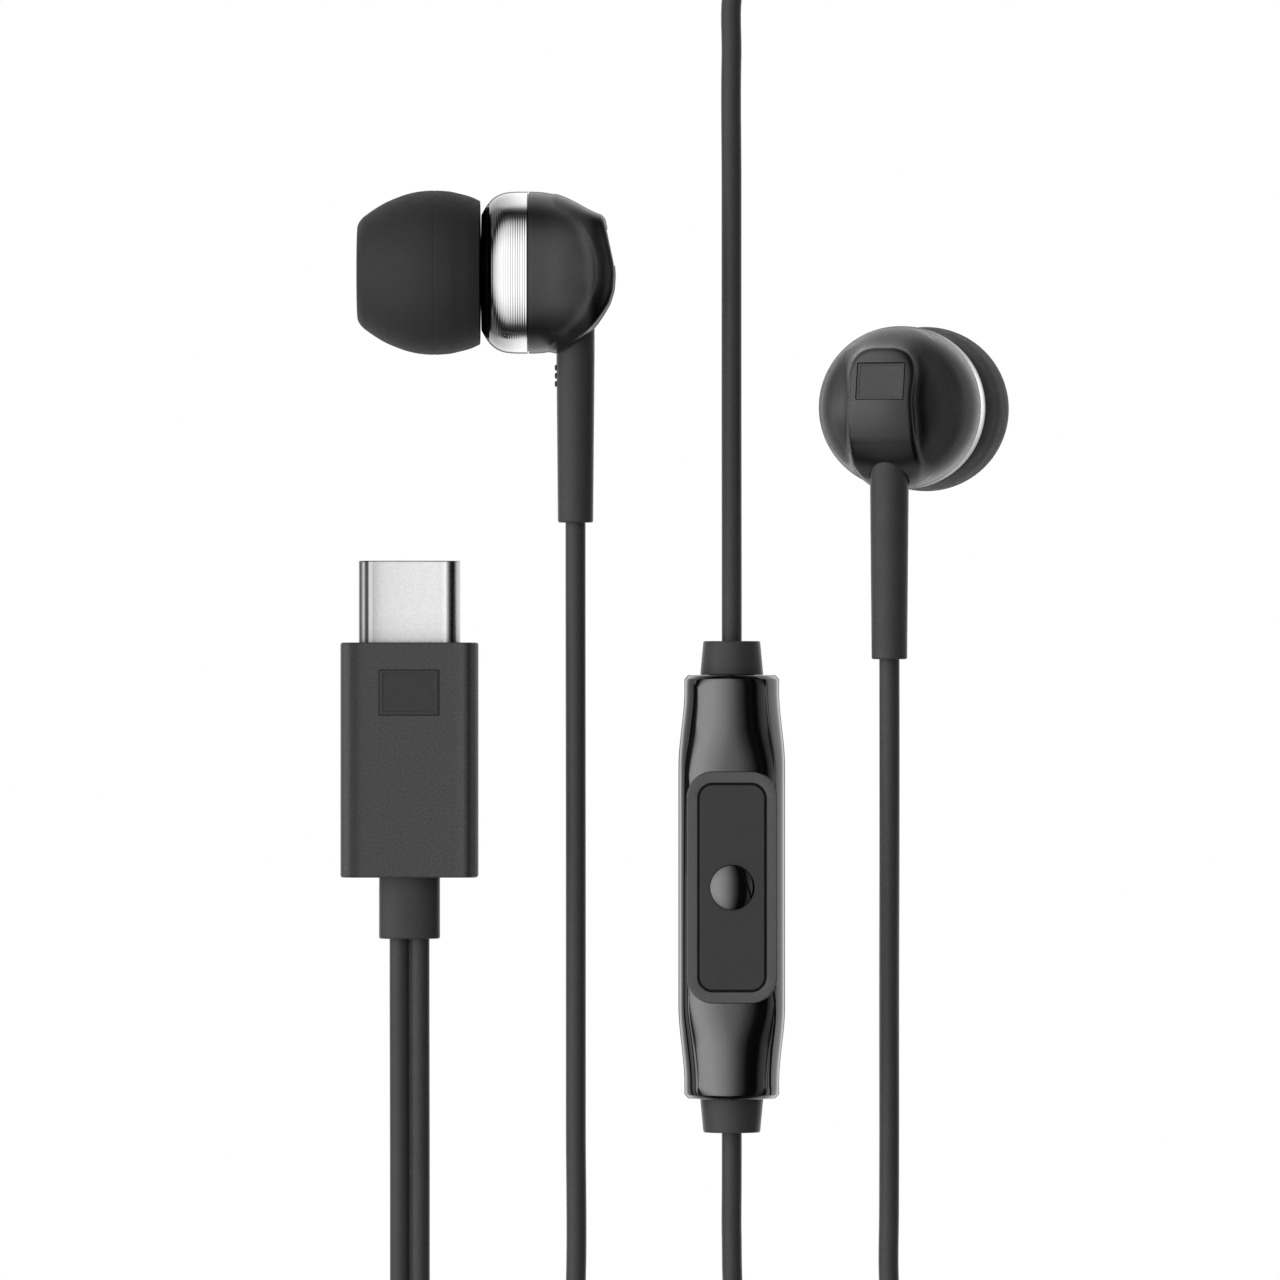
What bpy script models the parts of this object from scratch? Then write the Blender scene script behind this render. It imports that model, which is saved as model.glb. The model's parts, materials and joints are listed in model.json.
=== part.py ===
"""Wired in-ear earphones with an inline remote, a splitter and a USB-C plug, lying on z = 0.

Every size here is in millimetres, and MM turns it into metres.  +Z is up.  The origin is on the
table, under the middle of the two earbuds.  Three kinds of sub-assembly have a frame of their own:

- an earbud: Z runs from the housing's back to the ear tip, Y points away from the cord, and the
  origin is the centre of the trim ring's rear edge
- the remote: Y runs along the barrel, Z leaves the button, and the origin is the barrel's centre
- the plug: Y leaves the metal shell's mouth, and the origin is the centre of the sleeve's front
"""

from math import ceil, cos, pi, radians, sin

import bmesh
import bpy
from mathutils import Vector
from mathutils.geometry import interpolate_bezier

MM = 0.001
WELD = 0.000001

# ---- facets -------------------------------------------------------------------------------------
ROUND = 24            # segments of a visible turned piece
INNER_ROUND = 16      # segments of a small piece inside
COIL_ROUND = 40
CORNER = 4            # steps in the quarter circle of a rounded outline

# ---- clearances ---------------------------------------------------------------------------------
SLIP = 0.15           # radial gap between pieces that slide or push together
SEAT = 0.1            # gap between pieces that rest face to face
CORD_GAP = 0.3        # gap where a cord's solid meets a gland, a splitter or the coil

# ---- earbud -------------------------------------------------------------------------------------
HOUSING_RADIUS = 6.57
RING_LENGTH = 3.15
RING_WALL = 1.22
FRONT_EDGE = 0.49     # length of the front shell's gloss edge beyond the ring
FRONT_FACE_RADIUS = 4.69
SLEEVE_WALL = 0.45    # the front shell's sleeve inside the ring
SLEEVE_REACH = 1.6    # how far the sleeve reaches into the rear shell
NOZZLE_RADIUS = 2.3
NOZZLE_BORE = 1.6
NOZZLE_END = 9.5
NOZZLE_RIDGE = 0.3
MESH_RECESS = 0.5
MESH_THICKNESS = 0.2

TIP_RADIUS = 6.66
TIP_FRONT = 13.82     # distance of the tip's front from the ring's rear edge
TIP_GAP = 0.1         # axial gap between the tip's skirt and the front shell
TIP_SKIN = 0.6
TIP_CORE_WALL = 0.7
TIP_CORE_GAP = 0.4    # gap between the tip's core tube and the front shell's face
# outer outline of the tip: share of its length from the front, share of its radius
TIP_OUTLINE = (
    (0.0, 0.51), (0.007, 0.586), (0.037, 0.655), (0.157, 0.79), (0.307, 0.904),
    (0.457, 0.976), (0.628, 1.0), (0.757, 0.987), (0.906, 0.931), (1.0, 0.875),
)

REAR_DEPTH = 5.94     # depth of the dome behind the ring
REAR_WALL = 0.94
DOME_POWER = 2.4      # a superellipse, fuller than a ball
DOME_STEPS = 8
PAD_WIDTH = 5.4
PAD_DEPTH = 7.01
# side outline of the pad: share of the housing radius upwards, share of the pad depth backwards
PAD_OUTLINE = (
    (0.875, 0.43), (0.714, 0.877), (0.091, 1.0), (-0.228, 0.991), (-0.472, 0.942),
    (-0.639, 0.842), (-0.746, 0.776), (-0.8, 0.6), (-0.6, 0.38),
)
PAD_TILT = radians(11.9)
BADGE_WIDTH = 4.0
BADGE_HEIGHT = 3.07
BADGE_RISE = 2.03     # height of the badge's centre over the tip axis
BADGE_RECESS = 0.4
BADGE_THICKNESS = 0.25

BOOT_RADIUS = 1.55
BOOT_END_RADIUS = 1.43
BOOT_SETBACK = 3.89   # distance of the boot's axis behind the ring's rear edge
BOOT_TOP = 3.4        # depth below the tip axis where the boot starts
BOOT_END = 20.27      # depth below the tip axis where the boot ends
BOOT_EDGE = 0.15
MARK_DROP = 1.79      # the raised mark on the boot, below the housing
MARK_DEPTH = HOUSING_RADIUS + MARK_DROP
MARK_LENGTH = 2.2
MARK_WIDTH = 0.9
MARK_PROUD = 0.16

# ---- driver -------------------------------------------------------------------------------------
MAGNET_RADIUS = 1.9
MAGNET_THICKNESS = 1.0
POLE_MARGIN = 0.1     # how much wider the pole plate is than the magnet
POLE_THICKNESS = 0.5
COIL_WALL = 0.2
CUP_WALL = 0.4
CUP_REAR = 2.2        # distance of the magnet cup's back behind the ring's rear edge
FRAME_RIM = 0.3
FRAME_FRONT = 1.6
FRAME_FLANGE = 0.4
DIAPHRAGM_SKIN = 0.12
DIAPHRAGM_SEAT = 0.3  # gap between the diaphragm's rim and the frame, which its travel uses
DOME_RISE = 0.5
BOARD_THICKNESS = 0.4
BOARD_WIDTH = 4.0
BOARD_HEIGHT = 2.5

# ---- where the two earbuds lie ------------------------------------------------------------------
LEFT_PLACE = (-12.62, 12.23)
RIGHT_PLACE = (17.6, 1.16)
RIGHT_LEAN = radians(16.0)

# ---- remote -------------------------------------------------------------------------------------
REMOTE_PLACE = (3.96, -37.615)
BARREL_LENGTH = 34.4
BARREL_END_RADIUS = 3.85
BARREL_MIDDLE = 4.335         # half width in the middle
BARREL_SWELL = (9.7, 16.0)    # the stretch from the middle where the width changes
BARREL_WALL = 0.8
BARREL_END_WALL = 1.0
BARREL_CHAMFER = 0.33
BARREL_POWERS = (2.6, 2.0)    # superellipse power in the middle and at the ends
BARREL_ARC = 12
SPLIT_GAP = 0.1
BEZEL_WIDTH = 7.29
BEZEL_LENGTH = 18.74
BEZEL_CORNER = 2.1
BEZEL_FLOOR = 2.4             # height of its seat over the barrel's axis
BEZEL_TOP = 3.95
WINDOW_WIDTH = 5.67
WINDOW_LENGTH = 17.0
WINDOW_CORNER = 1.3
GROOVE = 0.215                # gap round the button
BUTTON_CORNER = 1.06
BUTTON_BOTTOM = 2.95
BUTTON_TOP = 4.1
KNOB_RADIUS = 1.815
KNOB_RECESS = 0.5
KNOB_RISE = 0.55              # how far the glossy knob stands over the button
REMOTE_BOARD_TOP = -0.1
REMOTE_BOARD_THICKNESS = 0.8
REMOTE_BOARD_WIDTH = 6.2
REMOTE_BOARD_LENGTH = 24.0
SWITCH_SIDE = 3.2
SWITCH_HEIGHT = 1.2
SWITCH_WELL = 0.8
PLUNGER_RADIUS = 0.8
BUTTON_TRAVEL = 0.25
MICROPHONE = (2.2, 1.6, 0.9)
MICROPHONE_Y = 10.5
GLAND_BASE = 2.565
GLAND_TIP = 2.305
GLAND_LENGTH = 2.775
GLAND_NECK = 1.85
GLAND_FLANGE = 2.6
FLANGE_THICKNESS = 0.6

# ---- plug ---------------------------------------------------------------------------------------
PLUG_PLACE = (-22.25, -17.76)
SLEEVE_WIDTH = 11.18
SLEEVE_THICKNESS = 5.8
SLEEVE_LENGTH = 19.1
SLEEVE_CORNER = 1.2
PLUG_WALL = 0.8
PLUG_END_WALL = 1.2
SHELL_WIDTH = 8.25
SHELL_HEIGHT = 2.4
SHELL_SKIN = 0.3
SHELL_LENGTH = 6.65           # what shows in front of the sleeve
SHELL_ROOT = 2.2              # what the sleeve holds
INSULATOR_SETBACK = 0.65      # distance of the insulator's front behind the shell's mouth
SLOT_WIDTH = 6.3
SLOT_HEIGHT = 0.8
SLOT_REACH = 1.0              # how far the slot reaches behind the sleeve's front
CONTACT_COUNT = 12
CONTACT_PITCH = 0.5
CONTACT_WIDTH = 0.25
CONTACT_THICKNESS = 0.1
CONTACT_BAR = 0.3
PLUG_BOARD = (9.0, 13.5, 0.8)
CHIP = (4.0, 4.0, 0.8)
CHIP_SETBACK = 9.0
PLATE_WIDTH = 4.95
PLATE_LENGTH = 3.75
PLATE_SETBACK = 4.07          # distance of the blank plate's centre behind the sleeve's front
PLATE_RECESS = 0.35
PLATE_THICKNESS = 0.2
TAIL_WIDTH = 4.96
TAIL_THICKNESS = 3.4
TAIL_LENGTH = 5.0
TAIL_CORNER = 1.2
TAIL_NECK = (3.6, 2.2)
TAIL_FLANGE = (5.4, 3.2)

# ---- splitter -----------------------------------------------------------------------------------
SPLITTER_PLACE = (37.5, -96.5)
SPLITTER_WIDTH = 7.0
SPLITTER_LENGTH = 18.0
SPLITTER_THICKNESS = 3.4
SPLITTER_CORNER = 2.2
SPLITTER_WALL = 0.9

# ---- cords --------------------------------------------------------------------------------------
CORD = 1.63                   # diameter of a single cord
TWIN = 2.3                    # a round tube with the section of the flat twin cord
CORD_REST = 0.03              # a cord's facets lie this far over the table
ROUTE_STEP = 2.4              # distance between a tube's points, in diameters
COIL_PLACE = (-6.0, -103.06)
COIL_INNER = 12.9
COIL_OUTER = 19.6
COIL_HEIGHT = 6.6
COIL_EDGE = 0.8
TIE_ANGLE = radians(225.0)
TIE_THICKNESS = 0.6
TIE_WIDTH = 4.0

# route points of each cord, from the table's middle: x, y, z
MAIN_RUN = (
    (-22.25, -42.2, 2.9), (-22.25, -47.0, 2.8), (-22.25, -54.0, 1.9), (-22.25, -61.0, 1.25),
    (-22.25, -68.0, 1.18), (-22.25, -76.0, 1.18), (-22.4, -83.0, 1.18), (-22.7, -90.0, 1.18),
)
MAIN_TAIL = (
    (4.9, -121.0, 3.8), (9.5, -121.2, 3.1), (15.0, -121.3, 2.0), (21.0, -121.0, 1.3),
    (27.5, -119.6, 1.18), (33.0, -116.0, 1.25), (36.5, -111.0, 1.55), (37.5, -105.8, 1.7),
)
LEFT_RUN = (
    (-8.73, -8.34, 6.67), (-8.73, -13.0, 6.5), (-8.73, -20.0, 5.1), (-8.73, -28.0, 2.8),
    (-8.73, -36.0, 1.25), (-8.73, -44.0, 0.84), (-8.73, -57.0, 0.84), (-8.73, -70.0, 0.84),
    (-8.9, -74.5, 1.2), (-9.8, -79.0, 2.8), (-12.3, -83.5, 4.9),
)
LEFT_TAIL = (
    (13.4, -110.2, 4.9), (17.0, -107.6, 3.4), (21.0, -103.6, 1.6), (24.4, -98.5, 0.84),
    (26.7, -92.0, 0.84), (27.6, -85.0, 0.84), (28.6, -79.3, 0.84), (31.7, -76.8, 0.84),
    (34.6, -78.6, 0.9), (35.7, -82.4, 1.3), (35.7, -87.2, 1.7),
)
RIGHT_RUN = (
    (16.53, -19.42, 17.92), (16.54, -24.0, 17.75), (16.57, -30.5, 16.2), (16.62, -37.0, 12.9),
    (16.68, -44.0, 8.5), (16.75, -51.0, 4.4), (16.8, -58.0, 1.8), (16.8, -64.0, 0.94),
    (16.8, -70.0, 0.84), (17.6, -77.0, 0.84), (18.3, -84.0, 0.84), (16.9, -90.0, 0.84),
    (12.8, -90.4, 0.84), (9.4, -85.5, 0.84), (6.2, -79.0, 0.84), (4.3, -72.5, 1.0),
    (3.96, -66.0, 2.3), (3.96, -61.5, 3.4), (3.96, -57.9, 3.85),
)
REMOTE_RUN = (
    (3.96, -17.33, 3.85), (3.96, -12.0, 3.6), (3.96, -5.0, 2.2), (3.96, 2.0, 1.05),
    (3.96, 10.0, 0.84), (3.96, 20.0, 0.84), (3.96, 30.0, 0.84), (4.2, 36.0, 0.84),
    (6.6, 41.0, 0.84), (12.0, 43.2, 0.84), (22.0, 43.6, 0.84), (34.0, 43.4, 0.84),
    (44.0, 42.4, 0.84), (49.3, 38.2, 0.84), (50.5, 30.0, 0.84), (50.5, 15.0, 0.84),
    (50.5, 0.0, 0.84), (50.5, -15.0, 0.84), (50.5, -30.0, 0.84), (50.5, -45.0, 0.84),
    (50.5, -58.0, 0.84), (50.5, -66.0, 0.84), (49.7, -71.6, 0.84), (47.0, -75.4, 0.84),
    (43.4, -78.2, 0.84), (40.6, -81.2, 0.95), (39.5, -84.4, 1.4), (39.3, -87.2, 1.7),
)

# ---- materials: colour, roughness, metallic -----------------------------------------------------
FINISHES = {
    "silicone": ((0.035, 0.035, 0.036), 0.62, 0.0),
    "matte_shell": ((0.045, 0.045, 0.046), 0.5, 0.0),
    "gloss_black": ((0.012, 0.012, 0.013), 0.08, 0.0),
    "bright_metal": ((0.82, 0.82, 0.82), 0.25, 1.0),
    "nickel": ((0.72, 0.72, 0.72), 0.35, 1.0),
    "magnet": ((0.45, 0.45, 0.46), 0.35, 1.0),
    "copper": ((0.72, 0.33, 0.16), 0.3, 1.0),
    "film": ((0.62, 0.58, 0.42), 0.3, 0.0),
    "board": ((0.02, 0.13, 0.06), 0.5, 0.0),
    "chip": ((0.02, 0.02, 0.02), 0.45, 0.0),
    "bezel": ((0.09, 0.09, 0.09), 0.5, 0.0),
    "button": ((0.045, 0.045, 0.045), 0.5, 0.0),
    "sleeve": ((0.06, 0.06, 0.06), 0.55, 0.0),
    "cord": ((0.05, 0.05, 0.05), 0.55, 0.0),
    "gold": ((0.85, 0.62, 0.25), 0.3, 1.0),
}


# ---- scene helpers ------------------------------------------------------------------------------
def clear_scene():
    for item in list(bpy.data.objects):
        bpy.data.objects.remove(item, do_unlink=True)


def finish(name):
    """The Principled material with this name, made at its first use."""
    known = bpy.data.materials.get(name)
    if known:
        return known
    colour, roughness, metallic = FINISHES[name]
    made = bpy.data.materials.new(name)
    made.use_nodes = True
    shader = made.node_tree.nodes["Principled BSDF"]
    shader.inputs["Base Color"].default_value = (*colour, 1.0)
    shader.inputs["Roughness"].default_value = roughness
    shader.inputs["Metallic"].default_value = metallic
    return made


def millimetres(x, y, z):
    return Vector((x, y, z)) * MM


def frame(name, place, turn=(0.0, 0.0, 0.0)):
    """An empty that carries a sub-assembly."""
    empty = bpy.data.objects.new(name, None)
    empty.location = millimetres(*place)
    empty.rotation_euler = turn
    bpy.context.scene.collection.objects.link(empty)
    return empty


def put(name, mesh, look, carrier=None, place=(0.0, 0.0, 0.0), turn=(0.0, 0.0, 0.0)):
    """Turn a bmesh into a named object, at a place in its carrier's frame."""
    bmesh.ops.recalc_face_normals(mesh, faces=mesh.faces)
    data = bpy.data.meshes.new(name)
    mesh.to_mesh(data)
    mesh.free()
    data.shade_smooth()
    data.set_sharp_from_angle(angle=radians(35.0))
    data.materials.append(finish(look))
    item = bpy.data.objects.new(name, data)
    item.location = millimetres(*place)
    item.rotation_euler = turn
    item.parent = carrier
    bpy.context.scene.collection.objects.link(item)
    return item


def combine(item, tool, operation):
    """Cut or join an object with a hidden tool."""
    tool.hide_render = True
    tool.display_type = "WIRE"
    step = item.modifiers.new(tool.name, "BOOLEAN")
    step.operation = operation
    step.solver = "EXACT"
    step.object = tool


def cut(item, tool):
    combine(item, tool, "DIFFERENCE")


# ---- shapes -------------------------------------------------------------------------------------
def turned(outline, segments=ROUND):
    """Spin an outline of (radius, height) points about Z.  One off the axis is a closed loop."""
    mesh = bmesh.new()
    points = [mesh.verts.new(millimetres(radius, 0.0, height)) for radius, height in outline]
    edges = [mesh.edges.new(pair) for pair in zip(points, points[1:])]
    if outline[0][0] > 0.0:
        edges.append(mesh.edges.new((points[-1], points[0])))
    bmesh.ops.spin(
        mesh, geom=points + edges, cent=(0.0, 0.0, 0.0), axis=(0.0, 0.0, 1.0),
        angle=2.0 * pi, steps=segments, use_merge=True,
    )
    bmesh.ops.remove_doubles(mesh, verts=mesh.verts, dist=WELD)
    return mesh


def rounded(width, height, corner):
    """The outline of a rectangle with round corners, centred on the origin."""
    points = []
    centres = ((1, 1), (-1, 1), (-1, -1), (1, -1))
    for quarter, (right, up) in enumerate(centres):
        for step in range(CORNER + 1):
            angle = pi / 2.0 * (quarter + step / CORNER)
            points.append((
                right * (width / 2.0 - corner) + corner * cos(angle),
                up * (height / 2.0 - corner) + corner * sin(angle),
            ))
    return points


def loft(rings, closed=False):
    """Skin rings of equal length.  An open skin gets a cap at each end."""
    mesh = bmesh.new()
    loops = [[mesh.verts.new(millimetres(*point)) for point in ring] for ring in rings]
    pairs = list(zip(loops, loops[1:]))
    if closed:
        pairs.append((loops[-1], loops[0]))
    for first, second in pairs:
        for index in range(len(first)):
            after = (index + 1) % len(first)
            mesh.faces.new((first[index], first[after], second[after], second[index]))
    if not closed:
        mesh.faces.new(loops[0])
        mesh.faces.new(loops[-1])
    return mesh


def prism(outline, low, high):
    """Extrude an outline in XY from one height to another."""
    return loft([[(x, y, height) for x, y in outline] for height in (low, high)])


def hollow_prism(outer, inner, low, high):
    """A prism with a hole of the same number of points right through it."""
    rings = [
        [(x, y, low) for x, y in outer], [(x, y, high) for x, y in outer],
        [(x, y, high) for x, y in inner], [(x, y, low) for x, y in inner],
    ]
    return loft(rings, closed=True)


def block(width, length, height, bottom=0.0):
    """A plain box on a height, centred on the Z axis."""
    half, reach = width / 2.0, length / 2.0
    corners = ((-half, -reach), (half, -reach), (half, reach), (-half, reach))
    return prism(corners, bottom, bottom + height)


def smooth_route(route, spacing):
    """Evenly spaced points on one smooth curve through the points of a route."""
    knots = [Vector(point) for point in route]
    knots.insert(0, 2.0 * knots[0] - knots[1])
    knots.append(2.0 * knots[-1] - knots[-2])
    dense = [knots[1]]
    for before, start, end, after in zip(knots, knots[1:], knots[2:], knots[3:]):
        lead, span, trail = (start - before).length, (end - start).length, (after - end).length
        leave = (start - before) / lead - (end - before) / (lead + span) + (end - start) / span
        arrive = (end - start) / span - (after - start) / (span + trail) + (after - end) / trail
        handles = start + leave * span / 3.0, end - arrive * span / 3.0
        dense += interpolate_bezier(start, handles[0], handles[1], end, 24)[1:]
    travelled = [0.0]
    for start, end in zip(dense, dense[1:]):
        travelled.append(travelled[-1] + (end - start).length)
    count = ceil(travelled[-1] / spacing)
    even, index = [dense[0]], 0
    for step in range(1, count):
        target = travelled[-1] * step / count
        while travelled[index + 1] < target:
            index += 1
        share = (target - travelled[index]) / (travelled[index + 1] - travelled[index])
        even.append(dense[index].lerp(dense[index + 1], share))
    return even + [dense[-1]]


def cord(name, route, diameter):
    """A plain round tube along a smooth route."""
    data = bpy.data.curves.new(name, "CURVE")
    data.dimensions = "3D"
    data.bevel_depth = diameter / 2.0 * MM
    data.bevel_resolution = 2
    data.use_fill_caps = True
    spots = smooth_route(route, ROUTE_STEP * diameter)
    spline = data.splines.new("POLY")
    spline.points.add(len(spots) - 1)
    for point, spot in zip(spline.points, spots):
        spot.z = max(spot.z, diameter / 2.0 + CORD_REST)
        point.co = (*(spot * MM), 1.0)
    data.materials.append(finish("cord"))
    item = bpy.data.objects.new(name, data)
    bpy.context.scene.collection.objects.link(item)
    return item


# ---- earbud -------------------------------------------------------------------------------------
ring_bore = HOUSING_RADIUS - RING_WALL
sleeve_radius = ring_bore - SLIP
sleeve_bore = sleeve_radius - SLEEVE_WALL
edge_start = RING_LENGTH + SEAT
shell_front = RING_LENGTH + SEAT + FRONT_EDGE
frame_radius = sleeve_bore - SLIP
ledge_height = FRAME_FRONT + SEAT


def ring_outline_radius(height):
    """Outer radius of the trim ring and the front edge, which curve in towards the tip."""
    share = height / shell_front
    return HOUSING_RADIUS - (HOUSING_RADIUS - FRONT_FACE_RADIUS) * share ** 4.2


def build_trim_ring(side, carrier):
    heights = [RING_LENGTH * step / 6.0 for step in range(7)]
    outline = [(ring_outline_radius(height), height) for height in heights]
    outline += [(ring_bore, RING_LENGTH), (ring_bore, 0.0)]
    put(side + "_trim_ring", turned(outline), "bright_metal", carrier)


def build_nozzle_shell(side, carrier):
    face_inside = edge_start - SLEEVE_WALL / 2.0
    heights = [edge_start + FRONT_EDGE * share for share in (0.0, 0.35, 0.7, 1.0)]
    ridge = NOZZLE_RADIUS + NOZZLE_RIDGE
    step_height = NOZZLE_END - MESH_RECESS
    outline = [(sleeve_radius, -SLEEVE_REACH), (sleeve_radius, edge_start)]
    outline += [(ring_outline_radius(height), height) for height in heights]
    outline += [
        (NOZZLE_RADIUS + 0.5, shell_front + SEAT), (NOZZLE_RADIUS, shell_front + 0.5),
        (NOZZLE_RADIUS, NOZZLE_END - 1.6), (ridge, NOZZLE_END - 1.2), (ridge, NOZZLE_END - 0.8),
        (NOZZLE_RADIUS, NOZZLE_END), (NOZZLE_BORE + NOZZLE_RIDGE, NOZZLE_END),
        (NOZZLE_BORE + NOZZLE_RIDGE, step_height), (NOZZLE_BORE, step_height),
        (NOZZLE_BORE, face_inside), (sleeve_bore - SLEEVE_WALL, face_inside),
        (sleeve_bore - SLEEVE_WALL, ledge_height), (sleeve_bore, ledge_height),
        (sleeve_bore, -SLEEVE_REACH),
    ]
    put(side + "_nozzle_shell", turned(outline), "gloss_black", carrier)


def build_nozzle_mesh(side, carrier):
    radius = NOZZLE_BORE + NOZZLE_RIDGE - SEAT
    bottom = NOZZLE_END - MESH_RECESS + SEAT
    outline = [(0.0, bottom), (radius, bottom), (radius, bottom + MESH_THICKNESS)]
    outline.append((0.0, bottom + MESH_THICKNESS))
    put(side + "_nozzle_mesh", turned(outline, INNER_ROUND), "nickel", carrier)


def build_ear_tip(side, carrier):
    rear = shell_front + TIP_GAP
    length = TIP_FRONT - rear
    bore = NOZZLE_RADIUS + NOZZLE_RIDGE + SEAT
    core = bore + TIP_CORE_WALL
    outer = [(share * TIP_RADIUS, TIP_FRONT - along * length) for along, share in TIP_OUTLINE]
    inner = [(radius - TIP_SKIN, height) for radius, height in reversed(outer[4:])]
    crown = inner[-1][1]
    outline = [(bore, TIP_FRONT - 0.3), (bore + 0.3, TIP_FRONT)] + outer + inner
    outline += [
        ((inner[-1][0] + core) / 2.0, crown + 1.3), (core, crown + 0.8),
        (core, shell_front + TIP_CORE_GAP), (bore, shell_front + TIP_CORE_GAP),
    ]
    put(side + "_ear_tip", turned(outline), "silicone", carrier)


def dome(radius, depth, shoulder, front):
    """A solid cap, closed on the axis: straight from its front to its shoulder, then a dome."""
    outline = [(0.0, -front)]
    if front != shoulder:
        outline.append((radius, -front))
    for step in range(DOME_STEPS + 1):
        angle = pi / 2.0 * step / DOME_STEPS
        across = max(cos(angle), 0.0) ** (2.0 / DOME_POWER)
        along = sin(angle) ** (2.0 / DOME_POWER)
        outline.append((radius * across, -shoulder - (depth - shoulder) * along))
    outline[-1] = (0.0, -depth)
    return turned(outline)


def badge_place():
    """Centre of the badge on the pad's flat back, as height and depth in the earbud's frame."""
    top, bottom = PAD_OUTLINE[1], PAD_OUTLINE[2]
    top = top[0] * HOUSING_RADIUS, top[1] * PAD_DEPTH
    bottom = bottom[0] * HOUSING_RADIUS, bottom[1] * PAD_DEPTH
    share = (BADGE_RISE - top[0]) / (bottom[0] - top[0])
    return (0.0, BADGE_RISE, -(top[1] + share * (bottom[1] - top[1])))


def build_rear_shell(side, carrier):
    cap = dome(HOUSING_RADIUS, REAR_DEPTH, SEAT, SEAT)
    shell = put(side + "_rear_shell", cap, "matte_shell", carrier)
    half = PAD_WIDTH / 2.0
    outline = [(rise * HOUSING_RADIUS, -back * PAD_DEPTH) for rise, back in PAD_OUTLINE]
    pad = loft([[(x, y, z) for y, z in outline] for x in (-half, half)])
    combine(shell, put(side + "_pad_guide", pad, "matte_shell", carrier), "UNION")
    hollow = dome(ring_bore, REAR_DEPTH - REAR_WALL, SLEEVE_REACH + SEAT, -1.0)
    cut(shell, put(side + "_hollow_cutter", hollow, "matte_shell", carrier))
    pocket = block(BADGE_WIDTH, BADGE_HEIGHT, 2.0, -2.0 + BADGE_RECESS)
    turn = (PAD_TILT, 0.0, 0.0)
    cut(shell, put(side + "_pocket_cutter", pocket, "matte_shell", carrier, badge_place(), turn))
    radius = BOOT_RADIUS + SEAT
    bore = turned([(0.0, 0.0), (radius, 0.0), (radius, BOOT_END), (0.0, BOOT_END)])
    spot = (0.0, -BOOT_TOP + SLIP, -BOOT_SETBACK)
    cut(shell, put(
        side + "_bore_cutter", bore, "matte_shell", carrier, spot, (pi / 2.0, 0.0, 0.0)))


def build_badge_plate(side, carrier):
    bottom = BADGE_RECESS - SEAT - BADGE_THICKNESS
    plate = block(
        BADGE_WIDTH - 2.0 * SEAT, BADGE_HEIGHT - 2.0 * SEAT, BADGE_THICKNESS, bottom)
    turn = (PAD_TILT, 0.0, 0.0)
    put(side + "_badge_plate", plate, "gloss_black", carrier, badge_place(), turn)


def build_cable_boot(side, carrier):
    length = BOOT_END - BOOT_TOP
    outline = [
        (0.0, 0.0), (BOOT_RADIUS - BOOT_EDGE, 0.0), (BOOT_RADIUS, BOOT_EDGE),
        (BOOT_RADIUS, length * 0.2), (BOOT_END_RADIUS, length - BOOT_EDGE),
        (BOOT_END_RADIUS - BOOT_EDGE, length), (0.0, length),
    ]
    turn = (pi / 2.0, 0.0, 0.0)
    spot = (0.0, -BOOT_TOP, -BOOT_SETBACK)
    boot = put(side + "_cable_boot", turned(outline), "matte_shell", carrier, spot, turn)
    mark = block(MARK_WIDTH, MARK_LENGTH, BOOT_RADIUS + MARK_PROUD)
    spot = (0.0, -MARK_DEPTH, -BOOT_SETBACK)
    combine(boot, put(side + "_mark_guide", mark, "matte_shell", carrier, spot), "UNION")


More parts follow.
